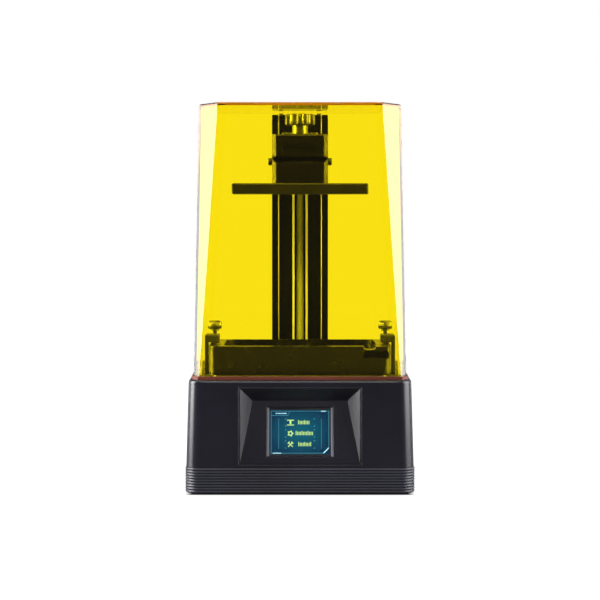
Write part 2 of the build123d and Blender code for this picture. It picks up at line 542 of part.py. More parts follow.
# ------------------------------------------------------------------ fan
FAN_RING_R, HUB_R, BLADE_R, BLADES = 27.5, 11.0, 26.3, 7
FAN_SPIN_GAP, SPIDER_T, SPIDER_W, HUB_PIN_R, HUB_PIN_L = 1.2, 1.8, 3.0, 1.5, 8.0
BLADE_T, BLADE_PITCH, BLADE_ROOT = 1.4, -32.0, 1.5
FAN_SCREW_R, FAN_SCREW_H, FAN_SCREW_L, CROSS_L, CROSS_W = 2.8, 1.2, 20.5, 3.2, 0.8
HEAD_CLEAR = 0.16  # keeps each flat head clear of the leaning wall
fan_out = Plane(origin=(FAN_X, FAN_FACE, FAN_Z), x_dir=(-1, 0, 0), z_dir=(0, 1, 0))
with BuildPart() as fan_frame:
    with BuildSketch(fan_out):
        RectangleRounded(FAN_SIZE, FAN_SIZE, 4)
        Circle(FAN_RING_R, mode=Mode.SUBTRACT)
        with GridLocations(2 * FAN_HOLE, 2 * FAN_HOLE, 2, 2):
            Circle(M3_R, mode=Mode.SUBTRACT)
    extrude(amount=-FAN_T)
    # spider on the inner side that carries the hub's pin
    with BuildSketch(fan_out.offset(-FAN_T)):
        Circle(HUB_R - 1)
        with PolarLocations(FAN_RING_R / 2 + 4, 4, start_angle=45):
            Rectangle(FAN_RING_R - 4, SPIDER_W)
    extrude(amount=SPIDER_T)
    with BuildSketch(fan_out.offset(SPIDER_T - FAN_T)):
        Circle(HUB_PIN_R)
    extrude(amount=HUB_PIN_L)
save(fan_frame, "fan_frame")

blade_depth = FAN_T - SPIDER_T - FAN_SPIN_GAP - 1.0
with BuildPart() as fan_rotor:
    with BuildSketch(fan_out.offset(SPIDER_T + FAN_SPIN_GAP - FAN_T)):
        Circle(HUB_R)
    extrude(amount=blade_depth)
    chamfer(fan_rotor.edges().group_by(Axis.Y)[-1], 1.0)
    for blade in range(BLADES):
        turn = radians(blade * 360 / BLADES)
        outward = Vector(cos(turn), 0, sin(turn))
        root = Plane(
            origin=Vector(FAN_X, FAN_FACE - 1.0 - blade_depth / 2, FAN_Z) + outward * (HUB_R - BLADE_ROOT),
            x_dir=(0, 1, 0),
            z_dir=outward,
        )
        with BuildSketch(root):
            Rectangle(blade_depth - BLADE_T, BLADE_T, rotation=BLADE_PITCH)
        extrude(amount=BLADE_R - HUB_R + BLADE_ROOT)
    with BuildSketch(fan_out.offset(SPIDER_T + FAN_SPIN_GAP - FAN_T)):
        Circle(HUB_PIN_R + RUN)
    extrude(amount=HUB_PIN_L, mode=Mode.SUBTRACT)
save(fan_rotor, "fan_rotor")

with BuildPart() as fan_screw:
    Cylinder(FAN_SCREW_R, FAN_SCREW_H, align=UP)
    chamfer(fan_screw.edges().group_by(Axis.Z)[-1], FAN_SCREW_H / 2)
    Cylinder(M3_R, FAN_SCREW_L, align=DOWN)
    with Locations((0, 0, FAN_SCREW_H)):
        Box(CROSS_L, CROSS_W, CROSS_W, align=DOWN, mode=Mode.SUBTRACT)
        Box(CROSS_W, CROSS_L, CROSS_W, align=DOWN, mode=Mode.SUBTRACT)
with BuildPart() as fan_screws:
    for dx in (-FAN_HOLE, FAN_HOLE):
        for dz in (-FAN_HOLE, FAN_HOLE):
            head_seat = (FAN_X + dx, casing_half(FAN_Z + dz)[1] + HEAD_CLEAR, FAN_Z + dz)
            with Locations(Plane(origin=head_seat, x_dir=(-1, 0, 0), z_dir=(0, 1, 0))):
                add(fan_screw.part)
save(fan_screws, "fan_screws")

# ------------------------------------------------------------------ power inlet, USB socket and switch
jack_plane = wall_plane("back", JACK_X, JACK_Z)
JACK_RIM, JACK_RIM_T, JACK_L, JACK_NUT_R, JACK_NUT_T = 1.6, 1.0, 14.0, 8.0, 2.5
JACK_HOLE_R, JACK_HOLE_L, JACK_PIN_R, JACK_PIN_L = 2.75, 10.0, 1.0, 8.5
with BuildPart() as power_inlet:
    with BuildSketch(jack_plane):
        Circle(JACK_R + JACK_RIM)
    extrude(amount=JACK_RIM_T)
    with BuildSketch(jack_plane):
        Circle(JACK_R - 0.1)
    extrude(amount=-JACK_L)
    with BuildSketch(jack_plane.offset(-WALL - 0.2)):
        RegularPolygon(JACK_NUT_R, 6)
    extrude(amount=-JACK_NUT_T)
    with BuildSketch(jack_plane.offset(JACK_RIM_T)):
        Circle(JACK_HOLE_R)
    extrude(amount=-JACK_HOLE_L, mode=Mode.SUBTRACT)
    with BuildSketch(jack_plane.offset(JACK_RIM_T - JACK_HOLE_L)):
        Circle(JACK_PIN_R)
    extrude(amount=JACK_PIN_L)
save(power_inlet, "power_inlet")

usb_mouth = wall_plane("right", USB_Y, USB_Z).offset(-0.4)
USB_L, USB_HOLLOW_L, USB_SKIN = 15.0, 11.0, 0.6
USB_TONGUE_T, USB_TONGUE_RISE, USB_TONGUE_L = 1.8, 1.0, 9.5
usb_w, usb_h = USB_W - 0.3, USB_H - 0.3
with BuildPart() as usb_socket:
    with BuildSketch(usb_mouth):
        Rectangle(usb_w, usb_h)
    extrude(amount=-USB_L)
    with BuildSketch(usb_mouth):
        Rectangle(usb_w - 2 * USB_SKIN, usb_h - 2 * USB_SKIN)
    extrude(amount=-USB_HOLLOW_L, mode=Mode.SUBTRACT)
    with BuildSketch(usb_mouth.offset(-USB_HOLLOW_L)):
        with Locations((0, USB_TONGUE_RISE)):
            Rectangle(usb_w - 4 * USB_SKIN, USB_TONGUE_T)
    extrude(amount=USB_TONGUE_L)
save(usb_socket, "usb_socket")

switch_plane = wall_plane("right", SWITCH_Y, SWITCH_Z)
SWITCH_RIM, SWITCH_FRAME, SWITCH_L, SWITCH_HOLLOW, SWITCH_CORNER_R = 1.0, 1.5, 14.0, 8.0, 1.2
BLADE_GAP, BLADE_W, BLADE_H, BLADE_L = 6.0, 0.8, 4.8, 6.0
ROCKER_W, ROCKER_H, ROCKER_PIN_R, ROCKER_DROP, ROCKER_GAP = 14.0, 8.6, 1.3, 2.4, 0.4
ROCKER_TIP, ROCKER_DIP, ROCKER_BACK, ROCKER_BACK_HALF_W = 4.3, 3.5, 2.4, 2.6
rocker_axis = switch_plane.offset(-ROCKER_DROP)
with BuildPart() as switch_housing:
    with BuildSketch(switch_plane):
        RectangleRounded(SWITCH_W + 2 * SWITCH_FRAME, SWITCH_H + 2 * SWITCH_FRAME, SWITCH_CORNER_R)
    extrude(amount=SWITCH_RIM)
    with BuildSketch(switch_plane):
        Rectangle(SWITCH_W - 0.2, SWITCH_H - 0.2)
    extrude(amount=-SWITCH_L)
    with BuildSketch(switch_plane.offset(SWITCH_RIM)):
        Rectangle(ROCKER_W + 2 * ROCKER_GAP, ROCKER_H + 2 * ROCKER_GAP)
    extrude(amount=-SWITCH_HOLLOW, mode=Mode.SUBTRACT)
    with BuildSketch(switch_plane.offset(-SWITCH_L)):
        with GridLocations(BLADE_GAP, 0, 2, 1):
            Rectangle(BLADE_W, BLADE_H)
    extrude(amount=-BLADE_L)
    # pins that the rocker turns on
    pin = Plane(origin=rocker_axis.origin, x_dir=(0, 1, 0), z_dir=rocker_axis.y_dir)
    with BuildSketch(pin):
        Circle(ROCKER_PIN_R)
    extrude(amount=SWITCH_H / 2 - 0.2, both=True)
save(switch_housing, "switch_housing")

rocker_end = ROCKER_W / 2 - ROCKER_GAP
with BuildPart() as switch_rocker:
    # seen along the pin, with its outer face a shallow V, so that one side always stands up
    with BuildSketch(pin):
        Polygon(
            (-rocker_end, ROCKER_GAP),
            (-rocker_end, -ROCKER_TIP),
            (0, -ROCKER_DIP),
            (rocker_end, -ROCKER_TIP),
            (rocker_end, ROCKER_GAP),
            (ROCKER_BACK_HALF_W, ROCKER_BACK),
            (-ROCKER_BACK_HALF_W, ROCKER_BACK),
            align=None,
        )
        Circle(ROCKER_PIN_R + RUN, mode=Mode.SUBTRACT)
    extrude(amount=ROCKER_H / 2, both=True)
save(switch_rocker, "switch_rocker")

# ------------------------------------------------------------------ Z column
STRIP_W, STRIP_DEPTH, COLUMN_CHAMFER, RAIL_TOP_GAP = 6.8, 1.5, 1.0, 6.0
with BuildPart() as column:
    with BuildSketch(Plane.XY.offset(DECK_Z)):
        with Locations((0, COLUMN_MID)):
            Rectangle(COLUMN_W, COLUMN_BACK - COLUMN_FRONT)
        # the front face between the two outer strips stands back
        with Locations((0, COLUMN_FRONT)):
            Rectangle(COLUMN_W - 2 * STRIP_W, 2 * STRIP_DEPTH, mode=Mode.SUBTRACT)
            Rectangle(COLUMN_SLOT, 2 * (FLANGE_BACK - COLUMN_FRONT), mode=Mode.SUBTRACT)
        with Locations((0, (FLANGE_BACK + COLUMN_BACK - COLUMN_WALL) / 2)):
            hollow_d = COLUMN_BACK - COLUMN_WALL - FLANGE_BACK
            Rectangle(COLUMN_W - 2 * COLUMN_WALL, hollow_d, mode=Mode.SUBTRACT)
    extrude(amount=COLUMN_TOP - DECK_Z)
    chamfer(column.edges().filter_by(Axis.Z).group_by(SortBy.DISTANCE)[-1], COLUMN_CHAMFER)
save(column, "column")

with BuildPart() as guide_rails:
    rail_w = RAIL_OUTER - RAIL_GAP / 2
    with Locations((0, (FLANGE_BACK + RAIL_BACK) / 2, DECK_Z)):
        with GridLocations(RAIL_GAP + rail_w, 0, 2, 1):
            Box(rail_w, RAIL_BACK - FLANGE_BACK, COLUMN_TOP - RAIL_TOP_GAP - DECK_Z, align=UP)
save(guide_rails, "guide_rails")

CAP_T, CAP_BOSS_R, BEARING_R, BEARING_H = 5.0, 11.0, 8.0, 5.0
CAP_SCREW_X, CAP_SCREW_Y, CAP_SCREW_R, CAP_HEAD_R, CAP_HEAD_H, CAP_SCREW_L = 20.0, 54.5, 1.25, 2.6, 1.8, 4.5
CAP_EDGE = 0.8
with BuildPart() as column_cap:
    with BuildSketch(Plane.XY.offset(COLUMN_TOP)):
        with Locations((0, COLUMN_MID)):
            RectangleRounded(COLUMN_W, COLUMN_BACK - COLUMN_FRONT, 1.5)
    extrude(amount=CAP_T)
    chamfer(column_cap.faces().sort_by(Axis.Z)[-1].edges(), CAP_EDGE)
    with Locations((0, CAP_SCREW_Y, COLUMN_TOP + CAP_T)):
        with GridLocations(2 * CAP_SCREW_X, 0, 2, 1):
            Cylinder(CAP_SCREW_R, CAP_SCREW_L, align=DOWN, mode=Mode.SUBTRACT)
    with Locations((0, SCREW_Y, COLUMN_TOP)):
        Cylinder(CAP_BOSS_R, BEARING_H, align=DOWN)
        Cylinder(BEARING_R, BEARING_H, align=DOWN, mode=Mode.SUBTRACT)
save(column_cap, "column_cap")

with BuildPart() as screw_bearing:
    with Locations((0, SCREW_Y, COLUMN_TOP)):
        Cylinder(BEARING_R, BEARING_H, align=DOWN)
        Cylinder(SCREW_R + RUN, BEARING_H, align=DOWN, mode=Mode.SUBTRACT)
save(screw_bearing, "screw_bearing")

with BuildPart() as cap_screws:
    with Locations((0, CAP_SCREW_Y, COLUMN_TOP + CAP_T)):
        with GridLocations(2 * CAP_SCREW_X, 0, 2, 1):
            Cylinder(CAP_SCREW_R, CAP_SCREW_L, align=DOWN)
            Cylinder(CAP_HEAD_R, CAP_HEAD_H, align=UP)
    with BuildSketch(Plane.XY.offset(COLUMN_TOP + CAP_T + CAP_HEAD_H)):
        with Locations((0, CAP_SCREW_Y)):
            with GridLocations(2 * CAP_SCREW_X, 0, 2, 1):
                RegularPolygon(CAP_HEAD_R / 2, 6)
    extrude(amount=-CAP_HEAD_H / 2, mode=Mode.SUBTRACT)
save(cap_screws, "cap_screws")

# ------------------------------------------------------------------ motor, coupler and lead screw
MOTOR_H, MOTOR_TOP, MOTOR_CORNER_R, MOTOR_PLUG = 34.0, DECK_Z - DECK_T, 4.0, (16.0, 8.0, 8.0)
BORE_DEPTH = 16.0
SHAFT_R, SHAFT_TOP, COUPLER_LOW, COUPLER_TOP, COUPLER_R = 2.5, 121.0, 114.0, 127.0, 7.5
with BuildPart() as stepper_motor:
    with BuildSketch(Plane.XY.offset(MOTOR_TOP)):
        with Locations((0, SCREW_Y)):
            RectangleRounded(MOTOR_SIZE, MOTOR_SIZE, MOTOR_CORNER_R)
    extrude(amount=-MOTOR_H)
    with BuildSketch(Plane.XY.offset(MOTOR_TOP)):
        with Locations((0, SCREW_Y)):
            Circle(SHAFT_R + RUN)
            with GridLocations(MOTOR_BOLT, MOTOR_BOLT, 2, 2):
                Circle(M3_R)
    extrude(amount=-BORE_DEPTH, mode=Mode.SUBTRACT)
    with Locations((0, SCREW_Y - MOTOR_SIZE / 2, MOTOR_TOP - MOTOR_H + MOTOR_PLUG[2] / 2 + 1)):
        Box(*MOTOR_PLUG)
save(stepper_motor, "stepper_motor")

with BuildPart() as motor_shaft:
    with Locations((0, SCREW_Y, SHAFT_TOP)):
        Cylinder(SHAFT_R, SHAFT_TOP - MOTOR_TOP + BORE_DEPTH - 0.5, align=DOWN)
save(motor_shaft, "motor_shaft")

motor_screw = flat_screw(2 * M3_R, 10.0)
with BuildPart() as motor_screws:
    with Locations((0, SCREW_Y, DECK_Z)):
        with GridLocations(MOTOR_BOLT, MOTOR_BOLT, 2, 2):
            add(motor_screw)
save(motor_screws, "motor_screws")

with BuildPart() as shaft_coupler:
    with Locations((0, SCREW_Y, COUPLER_LOW)):
        Cylinder(COUPLER_R, COUPLER_TOP - COUPLER_LOW, align=UP)
        chamfer(shaft_coupler.edges(), 0.6)
        Cylinder(SHAFT_R, SHAFT_TOP - COUPLER_LOW, align=UP, mode=Mode.SUBTRACT)
    with Locations((0, SCREW_Y, SHAFT_TOP)):
        Cylinder(SCREW_R, COUPLER_TOP - SHAFT_TOP, align=UP, mode=Mode.SUBTRACT)
save(shaft_coupler, "shaft_coupler")

with BuildPart() as lead_screw:
    with Locations((0, SCREW_Y, SHAFT_TOP)):
        Cylinder(SCREW_R, SCREW_TOP - SHAFT_TOP, align=UP)
    chamfer(lead_screw.edges(), 0.6)
save(lead_screw, "lead_screw")

# ------------------------------------------------------------------ carriage and arm
BLOCK_LOW, BLOCK_TOP = 312.0, 356.0
FACE_X, FACE_BACK = 25.0, 39.4
NECK_X, REAR_X, REAR_FRONT, REAR_BACK = RAIL_GAP / 2 - SLIDE, 21.0, RAIL_BACK + 0.4, 77.0
NUT_R, NUT_FLANGE_R, NUT_FLANGE_T, NUT_H = 5.5, 11.0, 3.0, 18.0
with BuildPart() as carriage_block:
    with BuildSketch(Plane.XY.offset(BLOCK_LOW)):
        with Locations((0, (ARM_BACK + FACE_BACK) / 2)):
            Rectangle(2 * FACE_X, FACE_BACK - ARM_BACK)
        with Locations((0, (FACE_BACK + REAR_FRONT) / 2)):
            Rectangle(2 * NECK_X, REAR_FRONT - FACE_BACK)
        with Locations((0, (REAR_FRONT + REAR_BACK) / 2)):
            Rectangle(2 * REAR_X, REAR_BACK - REAR_FRONT)
        with Locations((0, SCREW_Y)):
            Circle(NUT_R, mode=Mode.SUBTRACT)
    extrude(amount=BLOCK_TOP - BLOCK_LOW)
save(carriage_block, "carriage_block")

with BuildPart() as lead_nut:
    with Locations((0, SCREW_Y, BLOCK_LOW)):
        Cylinder(NUT_FLANGE_R, NUT_FLANGE_T, align=DOWN)
        Cylinder(NUT_R, NUT_H, align=UP)
    with Locations((0, SCREW_Y, BLOCK_LOW - NUT_FLANGE_T)):
        Cylinder(SCREW_R + RUN, NUT_FLANGE_T + NUT_H, align=UP, mode=Mode.SUBTRACT)
save(lead_nut, "lead_nut")

FLAG_W, FLAG_T, FLAG_RISE, FLAG_DROP = 2.6, 1.2, 12.0, 7.0
SWITCH_BODY_W, SWITCH_BODY_D, SWITCH_BODY_H, SLOT_D, SLOT_DEPTH = 7.0, 12.0, 16.0, 3.2, 10.0
switch_at = (-COLUMN_W / 2 + COLUMN_WALL + SWITCH_BODY_W / 2, SCREW_Y)
with BuildPart() as limit_flag:
    with BuildSketch(Plane.XY.offset(BLOCK_LOW + FLAG_RISE)):
        with Locations((-REAR_X - FLAG_W / 2, SCREW_Y)):
            Rectangle(FLAG_W, FLAG_T)
    extrude(amount=-FLAG_RISE - FLAG_DROP)
save(limit_flag, "limit_flag")

with BuildPart() as limit_switch:
    with BuildSketch(Plane.XY.offset(DECK_Z)):
        with Locations(switch_at):
            Rectangle(SWITCH_BODY_W, SWITCH_BODY_D)
    extrude(amount=SWITCH_BODY_H)
    with BuildSketch(Plane.XY.offset(DECK_Z + SWITCH_BODY_H)):
        with Locations(switch_at):
            Rectangle(SWITCH_BODY_W, SLOT_D)
    extrude(amount=-SLOT_DEPTH, mode=Mode.SUBTRACT)
save(limit_switch, "limit_switch")

HEAD_W, HEAD_LOW, HEAD_TOP = 34.0, 334.6, 341.7
GUIDE_W, GUIDE_FRONT, GUIDE_BACK = 21.4, PLATFORM_Y - 18.4, PLATFORM_Y + 18.0
PAD_R, PAD_LOW, PAD_H, PAD_RISE = 6.0, HEAD_TOP, 2.4, 2.0
KNOB_SHAFT_R = 4.0
ARM_CHAMFER, ARM_TOP_CHAMFER, ARM_SCREW, ARM_SCREW_L = 4.0, 1.5, 4.0, 12.0
ARM_SCREW_SPOTS = [(-15, 12), (15, 12), (-10, 24), (10, 24)]
with BuildPart() as platform_arm:
    with BuildSketch(Plane.XY.offset(ARM_BOTTOM)):
        with Locations((0, (ARM_FRONT + ARM_BACK) / 2)):
            Rectangle(HOLDER_W, ARM_BACK - ARM_FRONT)
    extrude(amount=ARM_TOP - ARM_BOTTOM)
    chamfer(platform_arm.edges().filter_by(Axis.Z).group_by(Axis.Y)[0], ARM_CHAMFER)
    arm_top = platform_arm.faces().sort_by(Axis.Z)[-1]
    chamfer(arm_top.edges().filter_by(Axis.X).sort_by(Axis.Y)[0], ARM_TOP_CHAMFER)
    # T-shaped channel, open at the front, that the platform's guide slides in
    channel_len = GUIDE_BACK + SLIDE - ARM_FRONT
    with Locations((0, ARM_FRONT + channel_len / 2, ARM_BOTTOM)):
        Box(GUIDE_W + 2 * SLIDE, channel_len, HEAD_TOP - ARM_BOTTOM, align=UP, mode=Mode.SUBTRACT)
    channel_high = HEAD_TOP + 2 * SLIDE - HEAD_LOW
    with Locations((0, ARM_FRONT + channel_len / 2, HEAD_LOW - SLIDE)):
        Box(HEAD_W + 2 * SLIDE, channel_len, channel_high, align=UP, mode=Mode.SUBTRACT)
    # pocket for the clamp pad, and the hole for the knob's shaft
    with Locations((0, PLATFORM_Y, HEAD_TOP)):
        Cylinder(PAD_R + SLIDE, PAD_H + PAD_RISE + SLIDE, align=UP, mode=Mode.SUBTRACT)
        Cylinder(KNOB_SHAFT_R + RUN, ARM_TOP - HEAD_TOP, align=UP, mode=Mode.SUBTRACT)
    with Locations(*[(x, y, ARM_TOP) for x, y in ARM_SCREW_SPOTS]):
        Cylinder(ARM_SCREW / 2, ARM_SCREW_L, align=DOWN, mode=Mode.SUBTRACT)
save(platform_arm, "platform_arm")

arm_screw = socket_screw(ARM_SCREW, ARM_SCREW_L)
with BuildPart() as arm_screws:
    with Locations(*[(x, y, ARM_TOP) for x, y in ARM_SCREW_SPOTS]):
        add(arm_screw)
save(arm_screws, "arm_screws")

# ------------------------------------------------------------------ clamp knob of the build platform
KNOB_NECK_R, KNOB_NECK_LOW, KNOB_LOW, KNOB_TOP = 7.5, ARM_TOP + 1.0, 363.3, 374.5
KNOB_R, KNOB_LOBES, LOBE_CUT_R, LOBE_CUT_OUT, KNOB_EDGE = 15.5, 8, 4.0, 1.8, 0.8
PAD_EDGE = 0.4
SHAFT_SEAT = 1.4  # the shaft turns in a socket of this depth in the pad
with BuildPart() as knob_pad:
    with Locations((0, PLATFORM_Y, PAD_LOW)):
        Cylinder(PAD_R, PAD_H, align=UP)
        chamfer(knob_pad.edges(), PAD_EDGE)
    with Locations((0, PLATFORM_Y, PAD_LOW + PAD_H)):
        Cylinder(KNOB_SHAFT_R + RUN, SHAFT_SEAT, align=DOWN, mode=Mode.SUBTRACT)
save(knob_pad, "knob_pad")

with BuildPart() as platform_knob:
    with Locations((0, PLATFORM_Y, PAD_LOW + PAD_H - SHAFT_SEAT)):
        Cylinder(KNOB_SHAFT_R, KNOB_NECK_LOW - PAD_LOW - PAD_H + SHAFT_SEAT, align=UP)
    with Locations((0, PLATFORM_Y, KNOB_NECK_LOW)):
        Cylinder(KNOB_NECK_R, KNOB_LOW - KNOB_NECK_LOW, align=UP)
    with BuildSketch(Plane.XY.offset(KNOB_LOW)):
        with Locations((0, PLATFORM_Y)):
            Circle(KNOB_R)
            with PolarLocations(KNOB_R + LOBE_CUT_OUT, KNOB_LOBES, start_angle=180 / KNOB_LOBES):
                Circle(LOBE_CUT_R, mode=Mode.SUBTRACT)
    extrude(amount=KNOB_TOP - KNOB_LOW)
    chamfer(platform_knob.faces().sort_by(Axis.Z)[-1].edges(), KNOB_EDGE)
save(platform_knob, "platform_knob")

# ------------------------------------------------------------------ build platform
HOLDER_FRONT, HOLDER_BACK = ARM_FRONT, PLATFORM_Y + 28.0
HOLDER_WALL, HOLDER_FRONT_WALL, HOLDER_FACET = 4.0, 9.0, 6.0
HOLD_SCREW_Z, HOLD_SCREW_D = 326.6, 24.0
BLOCK_GAP, PLATE_CORNER_R, PLATE_EDGE, HOLD_SCREW = 0.4, 2.0, 1.2, 4.0
with BuildPart() as build_plate:
    with BuildSketch(Plane.XY.offset(PLATE_BOTTOM)):
        with Locations((0, PLATFORM_Y)):
            RectangleRounded(PLATE_W, PLATE_D, PLATE_CORNER_R)
    extrude(amount=PLATE_TOP - PLATE_BOTTOM)
    chamfer(build_plate.faces().sort_by(Axis.Z)[-1].edges(), PLATE_EDGE)
save(build_plate, "build_plate")

cavity_front, cavity_back = HOLDER_FRONT + HOLDER_FRONT_WALL, HOLDER_BACK - HOLDER_WALL
with BuildPart() as platform_holder:
    with BuildSketch(Plane.XY.offset(PLATE_TOP)):
        with Locations((0, (HOLDER_FRONT + HOLDER_BACK) / 2)):
            Rectangle(HOLDER_W, HOLDER_BACK - HOLDER_FRONT)
    extrude(amount=HOLDER_TOP - PLATE_TOP)
    chamfer(platform_holder.edges().filter_by(Axis.Z).group_by(Axis.Y)[0], ARM_CHAMFER)
    front_top = platform_holder.faces().sort_by(Axis.Z)[-1].edges().filter_by(Axis.X).sort_by(Axis.Y)[0]
    chamfer(front_top, HOLDER_FACET)
    with BuildSketch(Plane.XY.offset(HOLDER_TOP)):
        with Locations((0, (cavity_front + cavity_back) / 2)):
            Rectangle(HOLDER_W - 2 * HOLDER_WALL, cavity_back - cavity_front)
    extrude(amount=PLATE_TOP + HOLDER_WALL - HOLDER_TOP, mode=Mode.SUBTRACT)
    with Locations((0, PLATFORM_Y, HOLD_SCREW_Z)):
        with GridLocations(0, HOLD_SCREW_D, 1, 2):
            Cylinder(HOLD_SCREW / 2, HOLDER_W, rotation=(0, 90, 0), mode=Mode.SUBTRACT)
save(platform_holder, "platform_holder")

with BuildPart() as platform_guide:
    with BuildSketch(Plane.XY.offset(PLATE_TOP + HOLDER_WALL + 1)):
        with Locations((0, (cavity_front + cavity_back) / 2)):
            block_w = HOLDER_W - 2 * HOLDER_WALL - 2 * BLOCK_GAP
            Rectangle(block_w, cavity_back - cavity_front - 2 * BLOCK_GAP)
    extrude(amount=HOLDER_TOP - PLATE_TOP - HOLDER_WALL - 1 - SLIDE)
    with BuildSketch(Plane.XY.offset(HOLDER_TOP - 1)):
        with Locations((0, (GUIDE_FRONT + GUIDE_BACK) / 2)):
            Rectangle(GUIDE_W, GUIDE_BACK - GUIDE_FRONT)
    extrude(amount=HEAD_TOP - HOLDER_TOP + 1)
    with BuildSketch(Plane.XY.offset(HEAD_LOW)):
        with Locations((0, (GUIDE_FRONT + GUIDE_BACK) / 2)):
            Rectangle(HEAD_W, GUIDE_BACK - GUIDE_FRONT)
    extrude(amount=HEAD_TOP - HEAD_LOW)
save(platform_guide, "platform_guide")

holder_screw = socket_screw(HOLD_SCREW, HOLDER_WALL + BLOCK_GAP)
with BuildPart() as levelling_screws:
    for side, tilt in ((-1, -90), (1, 90)):
        for dy in (-HOLD_SCREW_D / 2, HOLD_SCREW_D / 2):
            with Locations(Location((side * HOLDER_W / 2, PLATFORM_Y + dy, HOLD_SCREW_Z), (0, tilt, 0))):
                add(holder_screw)
save(levelling_screws, "levelling_screws")

# ------------------------------------------------------------------ resin vat
VAT_R, CAVITY_R, VAT_WALL, RIM_T = 9.0, 12.0, 3.0, 4.0
FRAME_T, FRAME_W, FRAME_D, FILM_W, FILM_D = 3.0, 172.0, 106.0, 154.0, 96.0
FILM_T, FILM_LIFT, FRAME_R = 0.3, 0.15, 6.0
VAT_LOW = DECK_Z + FRAME_T
SPOUT_X, SPOUT_W, SPOUT_OUT, SPOUT_LOW, SPOUT_FACE = 75.0, 26.0, 5.0, 13.0, 4.0
SPOUT_GROOVE_X, SPOUT_GROOVE_W, SPOUT_GROOVE_H, SPOUT_R = 69.0, 12.0, 6.0, 3.0
with BuildPart() as vat:
    with BuildSketch(Plane.XY.offset(VAT_LOW)):
        with Locations((0, VAT_Y)):
            RectangleRounded(VAT_W, VAT_D, VAT_R)
    extrude(amount=VAT_TOP - VAT_LOW)
    # pouring lip at the front right corner
    with BuildSketch(Plane(origin=(SPOUT_X, VAT_Y - VAT_D / 2, 0), x_dir=(0, -1, 0), z_dir=(-1, 0, 0))):
        Polygon(
            (-1, VAT_TOP - SPOUT_LOW),
            (SPOUT_OUT, VAT_TOP - SPOUT_FACE),
            (SPOUT_OUT, VAT_TOP),
            (-1, VAT_TOP),
            align=None,
        )
    extrude(amount=SPOUT_W / 2, both=True)
    fillet(vat.edges().filter_by(Axis.Z).group_by(Axis.Y)[0], SPOUT_R)
    # the bowl, and the hollow under each side flange
    with BuildSketch(Plane.XY.offset(VAT_LOW)):
        with Locations((0, PLATFORM_Y)):
            RectangleRounded(CAVITY_W, CAVITY_D, CAVITY_R)
    extrude(amount=VAT_TOP - VAT_LOW, mode=Mode.SUBTRACT)
    pocket = (VAT_W - CAVITY_W) / 2 - 2 * VAT_WALL
    with BuildSketch(Plane.XY.offset(VAT_LOW)):
        with Locations((0, VAT_Y)):
            with GridLocations(CAVITY_W + 2 * VAT_WALL + pocket, 0, 2, 1):
                Rectangle(pocket, VAT_D - 3 * VAT_R)
    extrude(amount=VAT_TOP - RIM_T - VAT_LOW, mode=Mode.SUBTRACT)
    # pouring channel across the rim
    with BuildSketch(Plane(origin=(SPOUT_GROOVE_X, VAT_Y, VAT_TOP), x_dir=(1, 0, 0), z_dir=(0, -1, 0))):
        SlotOverall(SPOUT_GROOVE_W, SPOUT_GROOVE_H)
    extrude(amount=VAT_D / 2 + SPOUT_OUT, mode=Mode.SUBTRACT)
save(vat, "vat")

with BuildPart() as film_frame:
    with BuildSketch(Plane.XY.offset(DECK_Z)):
        with Locations((0, VAT_Y)):
            RectangleRounded(FRAME_W, FRAME_D, FRAME_R)
        with Locations((0, PLATFORM_Y)):
            RectangleRounded(FILM_W, FILM_D, CAVITY_R, mode=Mode.SUBTRACT)
    extrude(amount=FRAME_T)
save(film_frame, "film_frame")

with BuildPart() as release_film:
    with BuildSketch(Plane.XY.offset(DECK_Z + FILM_LIFT)):
        with Locations((0, PLATFORM_Y)):
            RectangleRounded(FILM_W, FILM_D, CAVITY_R)
    extrude(amount=FILM_T)
save(release_film, "release_film")

